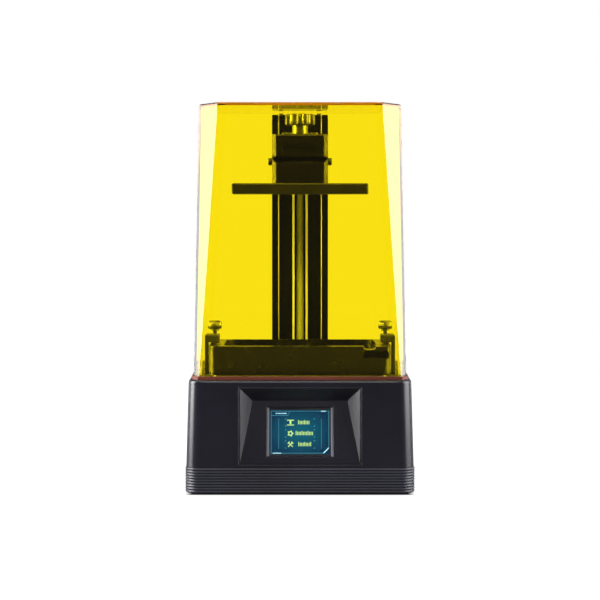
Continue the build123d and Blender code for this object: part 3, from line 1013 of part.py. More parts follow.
# ------------------------------------------------------------------ vat clamps
BRACKET_TOP, BRACKET_BLOCK_LOW, BRACKET_REACH = 152.0, 144.4, 81.7
BRACKET_FOOT_LOW = DECK_Z - DECK_T - 3.0
CLAMP_PAD_R, CLAMP_PAD_H, CLAMP_PAD_RISE, CLAMP_PAD_EDGE = 4.6, 2.4, 1.0, 0.3
THUMB_SHAFT_R, THUMB_NECK_H, THUMB_NOTCH_R, THUMB_NOTCH_OUT = 2.4, 2.2, 0.65, 0.35
THUMB_CONE, THUMB_CONE_H, BRACKET_EDGE = (6.4, 5.4), 0.8, 1.0
THUMB_R, THUMB_NECK_R, THUMB_LOW, THUMB_TOP, THUMB_NOTCHES = 7.0, 4.2, 157.2, 165.0, 24
for side, hand in ((-1, "left"), (1, "right")):
    with BuildPart() as bracket:
        outer, inner = BRACKET_X + BRACKET_T / 2, BRACKET_X - BRACKET_T / 2
        with BuildSketch(Plane.XZ.offset(-PLATFORM_Y)):
            Polygon(
                (side * outer, BRACKET_FOOT_LOW),
                (side * outer, BRACKET_TOP),
                (side * BRACKET_REACH, BRACKET_TOP),
                (side * BRACKET_REACH, BRACKET_BLOCK_LOW),
                (side * inner, BRACKET_BLOCK_LOW),
                (side * inner, MOTOR_TOP),
                (side * BRACKET_REACH, MOTOR_TOP),
                (side * BRACKET_REACH, BRACKET_FOOT_LOW),
                align=None,
            )
        extrude(amount=BRACKET_D / 2, both=True)
        chamfer(bracket.faces().sort_by(Axis.Z)[-1].edges(), BRACKET_EDGE)
        with Locations((side * CLAMP_X, PLATFORM_Y, BRACKET_BLOCK_LOW)):
            pocket_h = CLAMP_PAD_H + CLAMP_PAD_RISE + SLIDE
            Cylinder(CLAMP_PAD_R + SLIDE, pocket_h, align=UP, mode=Mode.SUBTRACT)
            Cylinder(THUMB_SHAFT_R + RUN, BRACKET_TOP - BRACKET_BLOCK_LOW, align=UP, mode=Mode.SUBTRACT)
    save(bracket, f"vat_bracket_{hand}")

    with BuildPart() as pad:
        with Locations((side * CLAMP_X, PLATFORM_Y, VAT_TOP)):
            Cylinder(CLAMP_PAD_R, CLAMP_PAD_H, align=UP)
            chamfer(pad.edges(), CLAMP_PAD_EDGE)
        with Locations((side * CLAMP_X, PLATFORM_Y, VAT_TOP + CLAMP_PAD_H)):
            Cylinder(THUMB_SHAFT_R + RUN, SHAFT_SEAT, align=DOWN, mode=Mode.SUBTRACT)
    save(pad, f"vat_pad_{hand}")

    with BuildPart() as thumbscrew:
        with Locations((side * CLAMP_X, PLATFORM_Y, VAT_TOP + CLAMP_PAD_H - SHAFT_SEAT)):
            Cylinder(THUMB_SHAFT_R, THUMB_LOW - VAT_TOP - CLAMP_PAD_H + SHAFT_SEAT, align=UP)
        with Locations((side * CLAMP_X, PLATFORM_Y, THUMB_LOW)):
            Cylinder(THUMB_NECK_R, THUMB_NECK_H, align=DOWN)
        with BuildSketch(Plane.XY.offset(THUMB_LOW)):
            with Locations((side * CLAMP_X, PLATFORM_Y)):
                Circle(THUMB_R)
                with PolarLocations(THUMB_R + THUMB_NOTCH_OUT, THUMB_NOTCHES):
                    Circle(THUMB_NOTCH_R, mode=Mode.SUBTRACT)
        extrude(amount=THUMB_TOP - THUMB_LOW)
        with Locations((side * CLAMP_X, PLATFORM_Y, THUMB_TOP)):
            Cone(*THUMB_CONE, THUMB_CONE_H, align=UP)
    save(thumbscrew, f"vat_thumbscrew_{hand}")

# ------------------------------------------------------------------ hood
HOOD_TOP_CHAMFER, HOOD_EDGE_R = 1.2, 1.4
hood_inner_foot = inset_outline(*HOOD_FOOT, HOOD_WALL)
hood_inner_head = inset_outline(*HOOD_HEAD, HOOD_WALL)
with BuildPart() as hood:
    with BuildSketch(Plane.XY.offset(DECK_Z)):
        Polygon(*cut_corner_outline(*HOOD_FOOT), align=None)
    with BuildSketch(Plane.XY.offset(HOOD_TOP)):
        Polygon(*cut_corner_outline(*HOOD_HEAD), align=None)
    loft(ruled=True)
    chamfer(hood.faces().sort_by(Axis.Z)[-1].edges(), HOOD_TOP_CHAMFER)
    rising = hood.edges().filter_by(lambda edge: edge.length > 100 and abs(edge.tangent_at(0.5).Z) > 0.5)
    fillet(rising, HOOD_EDGE_R)
    with BuildSketch(Plane.XY.offset(DECK_Z)):
        Polygon(*cut_corner_outline(*inset_outline(*HOOD_FOOT, -HOOD_FLANGE)), align=None)
    extrude(amount=HOOD_FLANGE_H)
    with BuildSketch(Plane.XY.offset(DECK_Z)):
        Polygon(*cut_corner_outline(*hood_inner_foot), align=None)
    with BuildSketch(Plane.XY.offset(HOOD_TOP - HOOD_WALL)):
        Polygon(*cut_corner_outline(*hood_inner_head), align=None)
    loft(ruled=True, mode=Mode.SUBTRACT)
save(hood, "hood")
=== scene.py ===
"""The looks of a desktop resin printer: dark moulded casing, tilted touch screen, Z axis, build
platform, vat and a clear amber hood. Metres, in the same frame as the CAD: +Z up, -Y the front, +X the
viewer's right."""

import bpy
import math
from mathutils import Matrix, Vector


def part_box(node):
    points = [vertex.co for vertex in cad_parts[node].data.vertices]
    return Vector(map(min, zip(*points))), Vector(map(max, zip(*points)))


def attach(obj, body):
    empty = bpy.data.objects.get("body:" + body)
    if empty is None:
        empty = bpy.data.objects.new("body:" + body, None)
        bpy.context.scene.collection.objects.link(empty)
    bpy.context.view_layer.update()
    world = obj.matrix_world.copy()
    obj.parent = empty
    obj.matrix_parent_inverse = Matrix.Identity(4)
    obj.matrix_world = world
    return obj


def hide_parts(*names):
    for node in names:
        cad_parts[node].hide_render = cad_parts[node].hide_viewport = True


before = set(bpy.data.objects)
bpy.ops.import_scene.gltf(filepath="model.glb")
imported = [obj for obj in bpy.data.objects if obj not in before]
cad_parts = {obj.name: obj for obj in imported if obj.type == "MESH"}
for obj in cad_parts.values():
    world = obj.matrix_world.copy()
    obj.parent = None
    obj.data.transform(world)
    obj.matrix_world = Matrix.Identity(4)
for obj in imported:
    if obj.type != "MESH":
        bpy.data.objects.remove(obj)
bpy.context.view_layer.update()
MM = 0.001


# ------------------------------------------------------------------ node helpers
class Nodes:
    """A material's node tree, with short ways to add what the materials below share."""

    def __init__(self, name):
        self.material = bpy.data.materials.new(name)
        self.material.use_nodes = True
        self.tree = self.material.node_tree
        self.shader = self.tree.nodes["Principled BSDF"]
        self.place = self.add("ShaderNodeTexCoord").outputs["Object"]

    def add(self, kind, **settings):
        node = self.tree.nodes.new(kind)
        for key, value in settings.items():
            if hasattr(node, key):
                setattr(node, key, value)
            else:
                node.inputs[key.replace("_", " ")].default_value = value
        return node

    def link(self, source, target):
        self.tree.links.new(source, target)

    def stretched(self, scale):
        """Object coordinates, stretched by a different scale on each axis."""
        node = self.add("ShaderNodeMapping")
        node.inputs["Scale"].default_value = scale
        self.link(self.place, node.inputs["Vector"])
        return node.outputs["Vector"]

    def noise(self, scale, detail=3.0, roughness=0.55, where=None, distortion=0.0):
        node = self.add("ShaderNodeTexNoise")
        node.inputs["Scale"].default_value = scale
        node.inputs["Detail"].default_value = detail
        node.inputs["Roughness"].default_value = roughness
        node.inputs["Distortion"].default_value = distortion
        self.link(where or self.place, node.inputs["Vector"])
        return node.outputs["Fac"]

    def cells(self, scale, where=None):
        node = self.add("ShaderNodeTexVoronoi")
        node.inputs["Scale"].default_value = scale
        self.link(where or self.place, node.inputs["Vector"])
        return node.outputs["Distance"]

    def remap(self, source, low, high, from_low=0.3, from_high=0.7):
        node = self.add("ShaderNodeMapRange")
        node.inputs["From Min"].default_value = from_low
        node.inputs["From Max"].default_value = from_high
        node.inputs["To Min"].default_value = low
        node.inputs["To Max"].default_value = high
        self.link(source, node.inputs["Value"])
        return node.outputs["Result"]

    def math(self, operation, first, second):
        node = self.add("ShaderNodeMath", operation=operation)
        for socket, value in zip(node.inputs, (first, second)):
            if isinstance(value, (int, float)):
                socket.default_value = value
            else:
                self.link(value, socket)
        return node.outputs["Value"]

    def blend(self, factor, first, second):
        node = self.add("ShaderNodeMix", data_type="RGBA")
        for name, value in (("Factor", factor), ("A", first), ("B", second)):
            socket = [s for s in node.inputs if s.name == name and s.enabled][0]
            if isinstance(value, tuple):
                socket.default_value = value if len(value) == 4 else (*value, 1.0)
            elif isinstance(value, (int, float)):
                socket.default_value = value
            else:
                self.link(value, socket)
        return [s for s in node.outputs if s.enabled][0]

    def ridge(self, height, strength, distance, edge=0.0):
        """Bump from height, over edges that are rounded by edge metres."""
        bump = self.add("ShaderNodeBump")
        bump.inputs["Strength"].default_value = strength
        bump.inputs["Distance"].default_value = distance
        self.link(height, bump.inputs["Height"])
        if edge:
            round_edge = self.add("ShaderNodeBevel", samples=4)
            round_edge.inputs["Radius"].default_value = edge
            self.link(round_edge.outputs["Normal"], bump.inputs["Normal"])
        self.link(bump.outputs["Normal"], self.shader.inputs["Normal"])

    def set(self, **values):
        for key, value in values.items():
            socket = self.shader.inputs[key.replace("_", " ")]
            if isinstance(value, bpy.types.NodeSocket):
                self.link(value, socket)
            elif isinstance(value, tuple) and len(value) == 3:
                socket.default_value = (*value, 1.0)
            else:
                socket.default_value = value


# ------------------------------------------------------------------ materials
def moulded_plastic(name, colour, rough, grain=900, bump=0.12, specular=0.3, edge=0.0005):
    """Satin moulded plastic: spark-eroded grain, faint flow shades, and handling marks in its gloss."""
    n = Nodes(name)
    drift = n.noise(14, 3)
    smudge = n.noise(38, 5, 0.65, distortion=0.6)
    dark = tuple(c * 0.82 for c in colour)
    light = tuple(min(1.0, c * 1.35 + 0.002) for c in colour)
    n.set(Base_Color=n.blend(n.remap(drift, 0.0, 1.0), dark, light), Specular_IOR_Level=specular)
    n.set(Roughness=n.remap(smudge, rough - 0.015, rough + 0.025))
    n.ridge(n.noise(grain, 2, 0.5), bump, 0.00012, edge)
    return n.material


METAL_TONE = 0.12


def metal(name, colour, rough, stretch=(1, 1, 1), scale=400, metallic=1.0):
    """Metal with tool marks that run along the axis whose stretch is smallest."""
    n = Nodes(name)
    lines = n.noise(scale, 4, 0.6, where=n.stretched(stretch))
    cloud = n.noise(30, 4)
    dark = tuple(c * (1 - METAL_TONE) for c in colour)
    light = tuple(min(1.0, c * (1 + METAL_TONE)) for c in colour)
    n.set(Base_Color=n.blend(n.remap(lines, 0.0, 1.0), dark, light), Metallic=metallic)
    worn = n.math("ADD", n.remap(lines, rough - 0.05, rough + 0.06), n.remap(cloud, -0.03, 0.05))
    n.set(Roughness=worn)
    n.ridge(lines, 0.1, 0.00008, 0.0003)
    return n.material


# half width of the painted highlight line on the column's groove edges
GLINT_HALF = 0.35 * MM


def anodised(name, colour, rough=0.36, stretch=(1, 1, 1), scale=700, glint_at=None):
    """Dark anodised aluminium: blasted grain under a dye that varies a little. The last argument is where,
    left and right of the middle, a pale line is painted as the highlight on the edges of the extrusion's
    groove."""
    n = Nodes(name)
    grain = n.noise(scale, 3, 0.6, where=n.stretched(stretch))
    cloud = n.noise(22, 4, 0.6)
    pale = tuple(c * 1.12 for c in colour)
    shade = n.blend(n.remap(cloud, 0.0, 1.0), colour, pale)
    # painted highlight: a pale line at each edge of the extrusion's groove, where the edge catches the light
    if glint_at:
        split = n.add("ShaderNodeSeparateXYZ")
        n.link(n.place, split.inputs["Vector"])
        across = n.math("ABSOLUTE", split.outputs["X"], 0)
        off = n.math("ABSOLUTE", n.math("SUBTRACT", across, glint_at), 0)
        shade = n.blend(n.remap(off, 1.0, 0.0, GLINT_HALF, GLINT_HALF * 1.5), shade, (0.5, 0.48, 0.42))
    gloss = n.remap(n.noise(60, 3, 0.5), rough - 0.01, rough + 0.02)
    n.set(Base_Color=shade, Metallic=1.0, Roughness=gloss)
    n.ridge(grain, 0.04, 0.00006, 0.0004)
    return n.material


def powder_coat(name, colour, rough=0.5):
    """Powder coat with its fine orange-peel skin."""
    n = Nodes(name)
    peel = n.noise(1500, 2, 0.5)
    pale = tuple(c * 1.4 for c in colour)
    n.set(Base_Color=n.blend(n.remap(n.noise(25, 3), 0.0, 1.0), colour, pale))
    n.set(Roughness=n.remap(n.noise(80, 4), rough - 0.07, rough + 0.08), Specular_IOR_Level=0.35)
    n.ridge(peel, 0.3, 0.00012, 0.0004)
    return n.material


def rubber(name):
    """Matt rubber, dusty in patches."""
    n = Nodes(name)
    dust = n.remap(n.noise(60, 4), 0.0, 1.0)
    n.set(Base_Color=n.blend(dust, (0.014, 0.014, 0.014), (0.04, 0.04, 0.038)))
    n.set(Roughness=n.remap(n.noise(200, 3), 0.72, 0.92), Specular_IOR_Level=0.3)
    n.ridge(n.noise(2200, 2), 0.35, 0.0001, 0.0004)
    return n.material


def amber_acrylic(name):
    """Clear amber acrylic, deeper and more orange the further a ray runs inside it. Lamps pass through it
    with its tint, so that what it covers is lit."""
    n = Nodes(name)
    haze = n.noise(26, 4, 0.6)
    n.set(Base_Color=(1.0, 0.9, 0.115), Transmission_Weight=1.0, IOR=1.07)
    n.set(Roughness=n.remap(n.noise(18, 4, 0.6), 0.0, 0.008), Coat_Weight=0.25, Coat_Roughness=0.03)
    n.ridge(haze, 0.01, 0.0002)
    depth = n.add("ShaderNodeVolumeAbsorption")
    depth.inputs["Color"].default_value = (0.978, 0.943, 0.0, 1.0)
    depth.inputs["Density"].default_value = 150.0
    n.link(depth.outputs["Volume"], n.tree.nodes["Material Output"].inputs["Volume"])
    lamp_side = n.add("ShaderNodeBsdfTransparent")
    lamp_side.inputs["Color"].default_value = (1.0, 0.98, 0.55, 1.0)
    path = n.add("ShaderNodeLightPath")
    mix = n.add("ShaderNodeMixShader")
    n.link(path.outputs["Is Shadow Ray"], mix.inputs["Fac"])
    n.link(n.shader.outputs["BSDF"], mix.inputs[1])
    n.link(lamp_side.outputs["BSDF"], mix.inputs[2])
    n.link(mix.outputs["Shader"], n.tree.nodes["Material Output"].inputs["Surface"])
    return n.material


def clear_glass(name, tint, rough=0.02, ior=1.45):
    """Clear glass or film with faint waves and smudges."""
    n = Nodes(name)
    n.set(Base_Color=tint, Transmission_Weight=1.0, IOR=ior)
    n.set(Roughness=n.remap(n.noise(45, 4, 0.7), rough, rough + 0.05))
    n.ridge(n.noise(30, 3), 0.02, 0.0002)
    return n.material


def dark_glass(name):
    """The masking screen's polariser: near black, with faint wipe marks."""
    n = Nodes(name)
    drift = n.remap(n.noise(20, 3), 0.0, 1.0)
    n.set(Base_Color=n.blend(drift, (0.006, 0.006, 0.01), (0.012, 0.012, 0.02)))
    n.set(Roughness=n.remap(n.noise(50, 5, 0.7, distortion=1.0), 0.05, 0.16), Coat_Weight=0.5)
    n.ridge(n.noise(35, 2), 0.03, 0.0002)
    return n.material


def circuit_board(name, colour):
    """Solder mask over tracks and pads."""
    n = Nodes(name)
    tracks = n.add("ShaderNodeTexBrick")
    tracks.inputs["Scale"].default_value = 160
    tracks.inputs["Mortar Size"].default_value = 0.06
    tracks.inputs["Color1"].default_value = (*colour, 1)
    tracks.inputs["Color2"].default_value = (*[c * 1.25 for c in colour], 1)
    tracks.inputs["Mortar"].default_value = (*[min(1, c * 2.2 + 0.01) for c in colour], 1)
    n.link(n.place, tracks.inputs["Vector"])
    n.link(tracks.outputs["Color"], n.shader.inputs["Base Color"])
    n.set(Roughness=n.remap(n.noise(90, 3), 0.25, 0.4))
    n.ridge(tracks.outputs["Fac"], 0.25, 0.0001)
    return n.material


def lit(name, colour, strength):
    """A lit patch of the display, with its faint row pattern."""
    n = Nodes(name)
    wave = n.add("ShaderNodeTexWave", bands_direction="Z")
    wave.inputs["Scale"].default_value = 900
    n.link(n.place, wave.inputs["Vector"])
    shade = n.remap(wave.outputs["Fac"], 0.88, 1.0, 0.0, 1.0)
    dim = tuple(c * 0.75 for c in colour)
    n.set(Base_Color=tuple(c * 0.2 for c in colour), Roughness=0.4)
    n.link(n.blend(shade, dim, colour), n.shader.inputs["Emission Color"])
    n.set(Emission_Strength=strength)
    return n.material


def display_field(name, half_w, half_h, middle, up):
    """The display's background: deep blue at its edge, teal in its middle, with a faint circuit grid."""
    n = Nodes(name)
    split = n.add("ShaderNodeSeparateXYZ")
    n.link(n.place, split.inputs["Vector"])
    across = n.math("DIVIDE", split.outputs["X"], half_w)
    rise = n.math("DIVIDE", n.math("SUBTRACT", split.outputs["Z"], middle.z), half_h * up.z)
    sides = (n.math("POWER", n.math("ABSOLUTE", side, 0), 2.4) for side in (across, rise))
    spread = n.math("SQRT", n.math("ADD", *sides), 0)
    glow = n.remap(spread, 1.0, 0.0, 0.05, 1.05)
    base = n.blend(glow, (0.0, 0.013, 0.05), (0.0, 0.105, 0.16))
    grid = n.cells(420, where=n.stretched((1, 0.4, 1)))
    patterned = n.blend(n.remap(grid, 0.0, 0.16, 0.08, 0.6), base, (0.0, 0.15, 0.22))
    n.set(Base_Color=(0.004, 0.008, 0.014), Roughness=0.3, Specular_IOR_Level=0.1)
    n.link(patterned, n.shader.inputs["Emission Color"])
    n.set(Emission_Strength=1.0)
    return n.material


COLUMN_GLINT = 22.2 * MM
MATERIALS = {
    "casing": moulded_plastic("casing", (0.0042, 0.0035, 0.0085), 0.25, specular=0.4, edge=0.0013),
    "skirt": moulded_plastic("skirt", (0.011, 0.011, 0.02), 0.4, specular=0.42, edge=0.0003),
    "bezel": moulded_plastic("bezel", (0.0042, 0.004, 0.0085), 0.24, specular=0.38, edge=0.001),
    "fine_plastic": moulded_plastic("fine_plastic", (0.012, 0.012, 0.013), 0.42),
    "rocker": moulded_plastic("rocker", (0.012, 0.012, 0.012), 0.2, bump=0.03, specular=0.5),
    "white_plastic": moulded_plastic("white_plastic", (0.75, 0.75, 0.72), 0.5),
    "chip": moulded_plastic("chip", (0.02, 0.02, 0.021), 0.5, grain=1600),
    "rubber": rubber("rubber"),
    "deck": powder_coat("deck", (0.012, 0.012, 0.013)),
    "bracket": powder_coat("bracket", (0.013, 0.013, 0.014), 0.42),
    # the column gets painted highlight lines along the edges of its groove
    "column": anodised("column", (0.012, 0.0115, 0.011), 0.3, stretch=(1, 1, 0.02), scale=1200,
                       glint_at=COLUMN_GLINT),
    "arm": anodised("arm", (0.025, 0.024, 0.022), 0.22),
    "plate": anodised("plate", (0.036, 0.034, 0.032), 0.34, scale=1100),
    "vat": anodised("vat", (0.055, 0.053, 0.048), 0.26, scale=900),
    # painted sheen: rail and screw_steel have a near-white, mostly non-metallic base that stands in for
    # polished steel's reflections of the lamps
    "rail": metal("rail", (0.95, 0.94, 0.9), 0.3, stretch=(1, 1, 0.03), metallic=0.1),
    "bright": metal("bright", (0.62, 0.61, 0.58), 0.2, stretch=(1, 1, 0.03)),
    "screw_steel": metal("screw_steel", (0.92, 0.91, 0.86), 0.35, scale=900, metallic=0.1),
    "zinc": metal("zinc", (0.55, 0.55, 0.54), 0.3, scale=300),
    "black_steel": metal("black_steel", (0.05, 0.05, 0.05), 0.34, scale=500),
    "dark_nickel": metal("dark_nickel", (0.16, 0.157, 0.15), 0.2, scale=900),
    "knob": metal("knob", (0.13, 0.127, 0.114), 0.27, stretch=(1, 1, 0.15), scale=700),
    "brass": metal("brass", (0.72, 0.5, 0.2), 0.28, scale=500),
    "milled": metal("milled", (0.6, 0.6, 0.6), 0.3, stretch=(0.05, 1, 1), scale=600),
    "motor": powder_coat("motor", (0.02, 0.02, 0.022), 0.4),
    "board": circuit_board("board", (0.01, 0.09, 0.045)),
    "film": clear_glass("film", (0.92, 0.95, 0.98), 0.04, 1.35),
    "cover_glass": clear_glass("cover_glass", (0.97, 0.985, 1.0), 0.0, 1.2),
    "lens": clear_glass("lens", (0.98, 0.99, 1.0)),
    "lcd": dark_glass("lcd"),
    "hood": amber_acrylic("hood"),
    # painted highlight: the light grey of the strips that stand in for the light on the screen frame's left
    # and right edges
    "frame_glint": moulded_plastic("frame_glint", (0.17, 0.165, 0.205), 0.35, grain=1500, specular=0.4),
    "hood_edge": moulded_plastic("hood_edge", (0.11, 0.022, 0.011), 0.4, grain=500, specular=0.3),
}
CAD_MATERIALS = {
    "casing": "upper_casing",
    "skirt": "lower_casing",
    "bezel": "screen_bezel",
    "fine_plastic": "fan_frame fan_rotor power_inlet switch_housing",
    "rocker": "switch_rocker",
    "white_plastic": "light_tunnel led_chips",
    "chip": "board_parts limit_switch screen_display",
    "rubber": "rubber_feet",
    "deck": "deck_plate",
    "bracket": "vat_bracket_left vat_bracket_right",
    "column": "column column_cap",
    "arm": "platform_arm carriage_block platform_holder platform_guide",
    "plate": "build_plate",
    "vat": "vat",
    "bright": "motor_shaft usb_socket",
    "rail": "guide_rails",
    "zinc": "casing_screws deck_screws motor_screws screw_bearing",
    "black_steel": "fan_screws arm_screws cap_screws levelling_screws limit_flag",
    "brass": "lead_nut knob_pad vat_pad_left vat_pad_right board_pillars",
    "milled": "film_frame led_heatsink shaft_coupler",
    "motor": "stepper_motor",
    "board": "screen_board led_board main_board",
    "film": "release_film",
    "cover_glass": "screen_glass",
    "lens": "collimator_lens",
    "lcd": "lcd_panel",
    "hood": "hood",
}
for key, names in CAD_MATERIALS.items():
    for node in names.split():
        mesh = bpy.data.objects[node].data
        mesh.materials.clear()
        mesh.materials.append(MATERIALS[key])


# ------------------------------------------------------------------ mesh helpers
def piece(name, verts, faces, material, body, smooth_angle=35.0, stands_for=None):
    """A mesh piece that rides on a CAD body."""
    mesh = bpy.data.meshes.new(name)
    mesh.from_pydata([tuple(v) for v in verts], [], faces)
    mesh.validate()
    mesh.shade_smooth()
    mesh.set_sharp_from_angle(angle=math.radians(smooth_angle))
    mesh.materials.append(material)
    made = bpy.data.objects.new(name, mesh)
    bpy.context.scene.collection.objects.link(made)
    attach(made, body)
    if stands_for:
        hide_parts(stands_for)
    return made


def rings_to_mesh(rings, verts, faces):
    """Adds a closed skin over a stack of equal rings, lowest first, each anticlockwise from above."""
    start, count = len(verts), len(rings[0])
    for ring in rings:
        verts.extend(ring)
    for row in range(len(rings) - 1):
        for i in range(count):
            j = (i + 1) % count
            low, high = start + row * count, start + (row + 1) * count
            faces.append((low + i, low + j, high + j, high + i))
    faces.append(tuple(start + i for i in reversed(range(count))))
    faces.append(tuple(start + (len(rings) - 1) * count + i for i in range(count)))


def turned_ring(centre, z, radius_at, count):
    """One ring about a vertical axis, with a radius that may depend on the angle."""
    ring = []
    for i in range(count):
        turn = 2 * math.pi * i / count
        r = radius_at(turn)
        ring.append((centre[0] + r * math.cos(turn), centre[1] + r * math.sin(turn), z))
    return ring


def turned(centre, steps, count, verts, faces):
    """A turned piece as one closed skin: steps are heights and radii in mm, from below. A radius may be a
    function of the angle."""
    rings = []
    for z, radius in steps:
        radius_at = radius if callable(radius) else (lambda turn, r=radius: r)
        rings.append(turned_ring(centre, z * MM, lambda turn, f=radius_at: f(turn) * MM, count))
    rings_to_mesh(rings, verts, faces)


THREAD_FLAT, THREAD_FLANK = 0.13, 0.18


def thread(centre, low, high, radius, pitch, depth, verts, faces, per_turn=28, steps=10):
    """A right-handed trapezoidal thread as one closed skin, with short plain ends."""
    rings, rows = [], int(round((high - low) / pitch * steps))
    for row in range(rows + 1):
        z = low + (high - low) * row / rows
        fade = min(1.0, min(z - low, high - z) / pitch)

        def radius_at(turn):
            phase = (z / pitch - turn / (2 * math.pi)) % 1.0
            flank = min(1.0, max(0.0, (abs(phase - 0.5) - THREAD_FLAT) / THREAD_FLANK))
            return radius - depth * flank * fade

        rings.append(turned_ring(centre, z, radius_at, per_turn))
    rings_to_mesh(rings, verts, faces)


def centre_of(node):
    """The middle of a node's box."""
    low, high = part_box(node)
    return (low + high) / 2


# ------------------------------------------------------------------ lead screw
SCREW_LEAD, SCREW_DEPTH = 2 * MM, 0.45 * MM
low, high = (Vector(v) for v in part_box("lead_screw"))
axis_xy = ((low.x + high.x) / 2, (low.y + high.y) / 2)
screw_r = (high.x - low.x) / 2
verts, faces = [], []
thread(axis_xy, low.z, high.z, screw_r, SCREW_LEAD, SCREW_DEPTH, verts, faces)
piece("lead_screw_threaded", verts, faces, MATERIALS["screw_steel"], "lead_screw",
      25, stands_for="lead_screw")

# ------------------------------------------------------------------ platform knob: scooped lobes, dished top
KNOB_LOW, KNOB_TOP, KNOB_R = 363.3, 374.5, 15.5
KNOB_NECK_R, KNOB_NECK_LOW, KNOB_SHAFT_R = 7.5, 354.4, 4.0
LOBES, SCOOP_R, SCOOP_OUT, KNOB_SIDES = 8, 4.0, 1.8, 192
KNOB_PITCH, KNOB_THREAD_DEPTH = 1.25, 0.45


def lobed(inset):
    """Radius of the knob's outline at an angle, drawn in by inset."""
    def radius_at(turn):
        off = math.remainder(turn, 2 * math.pi / LOBES)
        centre_r, cut = KNOB_R + SCOOP_OUT, SCOOP_R + inset
        across = centre_r * math.sin(off)
        if abs(across) >= cut:
            return KNOB_R - inset
        return min(KNOB_R - inset, centre_r * math.cos(off) - math.sqrt(cut ** 2 - across ** 2))
    return radius_at


knob_at = centre_of("platform_knob")
knob_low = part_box("platform_knob")[0][2] / MM
verts, faces = [], []
knob_neck = [(KNOB_NECK_LOW, KNOB_NECK_R - 0.4), (KNOB_NECK_LOW + 0.4, KNOB_NECK_R),
             (KNOB_LOW - 0.3, KNOB_NECK_R), (KNOB_LOW, KNOB_NECK_R + 0.6)]
knob_rim = [(KNOB_LOW, lobed(1.1)), (KNOB_LOW + 0.35, lobed(0.4)), (KNOB_LOW + 1.1, lobed(0)),
            (KNOB_TOP - 1.1, lobed(0)), (KNOB_TOP - 0.35, lobed(0.4)), (KNOB_TOP, lobed(1.1))]
knob_dish = [(KNOB_TOP, 9.6), (KNOB_TOP - 0.7, 8.9), (KNOB_TOP - 0.7, 3.2), (KNOB_TOP - 0.2, 2.9)]
turned(knob_at, knob_neck + knob_rim + knob_dish, KNOB_SIDES, verts, faces)
thread(knob_at, knob_low * MM, (KNOB_NECK_LOW + 0.5) * MM, KNOB_SHAFT_R * MM, KNOB_PITCH * MM,
       KNOB_THREAD_DEPTH * MM, verts, faces)
piece("platform_knob_turned", verts, faces, MATERIALS["knob"], "platform_knob",
      stands_for="platform_knob")

# ------------------------------------------------------------------ vat thumbscrews: knurled heads
THUMB_LOW, THUMB_TOP, THUMB_R = 157.2, 165.0, 7.0
THUMB_NECK_R, THUMB_NECK_H, THUMB_SHAFT_R = 4.2, 2.2, 2.4
KNURLS, KNURL_DEPTH, THUMB_SIDES = 36, 0.22, 240
THUMB_PITCH, THUMB_THREAD_DEPTH = 0.8, 0.3


def knurled(inset):
    """Radius of a thumbscrew's knurled rim at an angle, drawn in by inset."""
    return lambda turn: THUMB_R - inset - KNURL_DEPTH * abs(math.sin(KNURLS * turn / 2)) ** 3


thumb_profile = [
    (THUMB_LOW - THUMB_NECK_H, THUMB_NECK_R), (THUMB_LOW - 0.2, THUMB_NECK_R),
    (THUMB_LOW, THUMB_NECK_R + 0.2), (THUMB_LOW, knurled(1.3)), (THUMB_LOW + 0.5, knurled(0.45)),
    (THUMB_LOW + 1.2, knurled(0)), (THUMB_TOP - 1.2, knurled(0)), (THUMB_TOP - 0.5, knurled(0.45)),
    (THUMB_TOP, knurled(1.3)), (THUMB_TOP + 0.2, 5.4), (THUMB_TOP + 0.75, 5.0), (THUMB_TOP + 0.75, 0.5),
]
for hand in ("left", "right"):
    thumb_at = centre_of(f"vat_thumbscrew_{hand}")
    thumb_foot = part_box(f"vat_thumbscrew_{hand}")[0][2]
    verts, faces = [], []
    turned(thumb_at, thumb_profile, THUMB_SIDES, verts, faces)
    thread(thumb_at, thumb_foot, (THUMB_LOW - THUMB_NECK_H + 0.4) * MM, THUMB_SHAFT_R * MM,
           THUMB_PITCH * MM, THUMB_THREAD_DEPTH * MM, verts, faces, per_turn=20, steps=6)
    piece(f"thumbscrew_{hand}_turned", verts, faces, MATERIALS["dark_nickel"], f"vat_thumbscrew_{hand}",
          stands_for=f"vat_thumbscrew_{hand}")

# ------------------------------------------------------------------ the hood's machined foot edge
FOOT_W, FOOT_D, FOOT_CUT_X, FOOT_CUT_Y = 212.0, 213.0, 6.4, 14.0
FOOT_LOW, FOOT_HIGH, FOOT_SKIN, FOOT_INSET, FOOT_ROUND = 112.25, 115.6, 0.25, -0.6, 0.3


def foot_ring(out, z):
    """The hood foot's outline with its cut corners, drawn out by out, at height z."""
    half_w, half_d = FOOT_W / 2 + out, FOOT_D / 2 + out
    corner = [(half_w, half_d - FOOT_CUT_Y), (half_w - FOOT_CUT_X, half_d)]
    quarter = corner + [(-x, y) for x, y in reversed(corner)]
    return [(x * MM, y * MM, z * MM) for x, y in quarter + [(-x, -y) for x, y in quarter]]


rings = [foot_ring(FOOT_SKIN, FOOT_LOW), foot_ring(FOOT_SKIN, FOOT_HIGH - FOOT_ROUND),
         foot_ring(0.0, FOOT_HIGH), foot_ring(FOOT_INSET, FOOT_HIGH), foot_ring(FOOT_INSET, FOOT_LOW)]
verts, faces, sides = [], [], len(rings[0])
for ring in rings:
    verts.extend(ring)
for row in range(len(rings)):
    above = (row + 1) % len(rings)
    for i in range(sides):
        j = (i + 1) % sides
        low, high = row * sides, above * sides
        faces.append((low + i, low + j, high + j, high + i))
piece("hood_foot_edge", verts, faces, MATERIALS["hood_edge"], "hood", 20)

